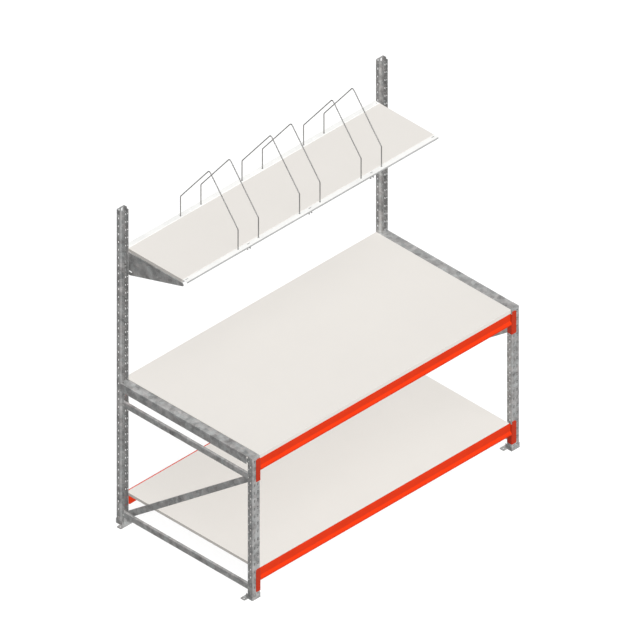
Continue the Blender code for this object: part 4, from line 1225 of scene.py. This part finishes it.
class PACKING_OT_dividers(bpy.types.Operator):
    """Bent wire dividers with collars and chamfered ends"""
    bl_idname = "packing.dividers"
    bl_label = "Dividers"

    def stations(self, sizes, half, foot, top):
        """Points (y, z), headings and radii along one half, from the tip of a leg to the ridge.

        The shoulder and the ridge are circles that share a tangent: its slope is
        atan2(rise, half) + asin(crest / hypot(half, rise)), for the ridge's own radius crest.
        """
        bend, crest = sizes.shoulder_bend + sizes.radius, sizes.ridge_bend + sizes.radius
        peak = top - sizes.radius - crest
        rise = peak - sizes.shoulder
        slope = math.atan2(rise, half) + math.asin(crest / math.hypot(half, rise))
        turn = math.pi / 2 - slope
        low = np.array([bend - half, sizes.shoulder - bend * math.tan(turn / 2)])
        collar, swell = GAP + sizes.collar_height, sizes.collar / sizes.radius
        cut, ease = 0.15, 0.0006
        heights, shares = np.array([
            (foot, 0.55), (foot + 2 * ease, 1.0), (GAP, 1.0), (GAP, swell - cut),
            (GAP + ease, swell), (collar - ease, swell), (collar, swell - cut),
            (collar + ease / 3, 1.0),
            *((z, 1.0) for z in np.linspace(collar + 0.01, low[1] - 0.004, 4))]).T
        first, second = np.linspace(0, turn, 11), np.linspace(slope, 0, 15)
        leg = np.column_stack([np.full(len(heights), -half), heights])
        shoulder = low + bend * np.column_stack([-np.cos(first), np.sin(first)])
        ridge = np.array([0, peak]) + crest * np.column_stack([-np.sin(second), np.cos(second)])
        headings = np.r_[np.full(len(heights), math.pi / 2), math.pi / 2 - first, second]
        shares = np.r_[shares, np.ones(len(first) + len(second))]
        return np.concatenate([leg, shoulder, ridge]), headings, sizes.radius * shares

    def shell(self, sizes, half, foot, top):
        """Circles of the wire's radius, each in the plane across the line's heading."""
        points, headings, radii = self.stations(sizes, half, foot, top)
        points = np.concatenate([points, points[-2::-1] * (-1, 1)])
        headings = np.r_[headings, -headings[-2::-1]][:, None]
        turns = np.linspace(0, 2 * math.pi, sizes.sides, endpoint=False)
        radii = np.r_[radii, radii[-2::-1]][:, None]
        lift = radii * np.sin(turns)
        y, z = points[:, :1] - lift * np.sin(headings), points[:, 1:] + lift * np.cos(headings)
        return profile_run(np.stack([radii * np.cos(turns), y, z], -1))

    def execute(self, context):
        sizes, finish = context.scene.packing_table.divider, context.scene.packing_table.finish
        plate = plated("Divider wire", finish.wire, 0.36, 0.0010)
        rail = spans("divider_rail_front")[2].high
        for number in range(1, 7):
            x, y, z = spans(f"divider_{number}")
            shell = self.shell(sizes, y.size / 2 - sizes.collar, z.low - rail, z.high - rail)
            dress(f"divider_{number}", "divider_wire", [shell], plate, (x.middle, y.middle, rail),
                  soften=0.0)
        return {"FINISHED"}


class PACKING_OT_stage(bpy.types.Operator):
    """Pale floor, soft light and the camera"""
    bl_idname = "packing.stage"
    bl_label = "Stage"

    def floor(self, stage):
        """A flat square grid just below the feet."""
        mesh = bpy.data.meshes.new("studio_floor")
        lines = np.linspace(-stage.floor, stage.floor, 9)
        points, quads, _ = perforated(lines, lines, [])
        mesh.from_pydata(laid(points, -stage.below, "z"), [], quads.tolist())

        def fill(tree, place):
            """White to the camera, and greyer to the light that it sends up to the sides."""
            pale = mixed(tree, noise(tree, place, size=1.5), grey(0.96), grey(0.98))
            seen = tree.nodes.new("ShaderNodeLightPath").outputs["Is Camera Ray"]
            return {"Base Color": mixed(tree, seen, grey(stage.bounce), pale),
                    "Emission Color": mixed(tree, seen, grey(0.0), grey(1.0)),
                    "Emission Strength": stage.glow, "Roughness": 0.9, "Specular IOR Level": 0.0}

        mesh.materials.append(material("Studio floor", fill))
        floor = bpy.data.objects.new("studio_floor", mesh)
        bpy.context.scene.collection.objects.link(floor)

    def light(self, name, energy, stage, shadows):
        """A wide sun lamp. Unturned it shines from the working side, at the height of its slope."""
        data = bpy.data.lights.new(name, "SUN")
        data.energy, data.angle, data.use_shadow = energy, stage.spread, shadows
        lamp = bpy.data.objects.new(name, data)
        lamp.rotation_euler = (math.pi / 2 - stage.slope, 0, stage.turn)
        bpy.context.scene.collection.objects.link(lamp)

    def sky(self, scene, energy):
        """Dim to the pieces that it lights, and white to the camera."""
        world = bpy.data.worlds.new("studio")
        world.use_nodes = True
        tree = world.node_tree
        seen = tree.nodes.new("ShaderNodeLightPath").outputs["Is Camera Ray"]
        fed(tree, tree.nodes["Background"], {"Color": mixed(tree, seen, grey(energy), grey(1.0))})
        scene.world = world

    def camera(self, scene, stage):
        """An orthographic camera that looks at the aim, from round and above the table."""
        data = bpy.data.cameras.new("studio_camera")
        data.type = "ORTHO"
        data.ortho_scale = stage.view
        camera = bpy.data.objects.new("studio_camera", data)
        around, above = stage.azimuth, stage.elevation
        level = math.cos(above)
        away = np.array([math.sin(around) * level, -math.cos(around) * level, math.sin(above)])
        camera.location = np.array(stage.aim) + stage.distance * away
        camera.rotation_euler = (math.pi / 2 - above, 0, around)
        scene.collection.objects.link(camera)
        scene.camera = camera

    def execute(self, context):
        stage = context.scene.packing_table.stage
        self.floor(stage)
        self.light("key", stage.key, stage, False)
        self.light("soft", stage.soft, stage, True)
        self.sky(context.scene, stage.sky)
        context.scene.view_settings.view_transform = "Standard"
        self.camera(context.scene, stage)
        return {"FINISHED"}


class PACKING_PT_panel(bpy.types.Panel):
    """Lists the pieces, each with a button that makes it"""
    bl_idname = "PACKING_PT_panel"
    bl_label = "Packing Table"
    bl_space_type = "VIEW_3D"
    bl_region_type = "UI"
    bl_category = "Packing Table"

    def draw(self, context):
        for operator in OPERATORS:
            self.layout.operator(operator.bl_idname)


SIZES = (UprightSizes, BasePlateSizes, BeamSizes, StrutSizes, RailSizes, ShelfSizes, DividerSizes,
         BoardSizes, Finishes, StageSizes, PackingTable)
OPERATORS = (PACKING_OT_stage, PACKING_OT_uprights, PACKING_OT_base_plates, PACKING_OT_struts,
             PACKING_OT_bolts, PACKING_OT_beams, PACKING_OT_connectors, PACKING_OT_side_rails,
             PACKING_OT_boards, PACKING_OT_brackets, PACKING_OT_divider_rails,
             PACKING_OT_cross_bars, PACKING_OT_dividers)


def register():
    for made in (*SIZES, *OPERATORS, PACKING_PT_panel):
        bpy.utils.register_class(made)
    bpy.types.Scene.packing_table = PointerProperty(type=PackingTable)


def unregister():
    del bpy.types.Scene.packing_table
    for made in reversed((*SIZES, *OPERATORS, PACKING_PT_panel)):
        bpy.utils.unregister_class(made)


def main():
    register()
    for operator in OPERATORS:
        area, name = operator.bl_idname.split(".")
        getattr(getattr(bpy.ops, area), name)()


if __name__ == "__main__":
    main()
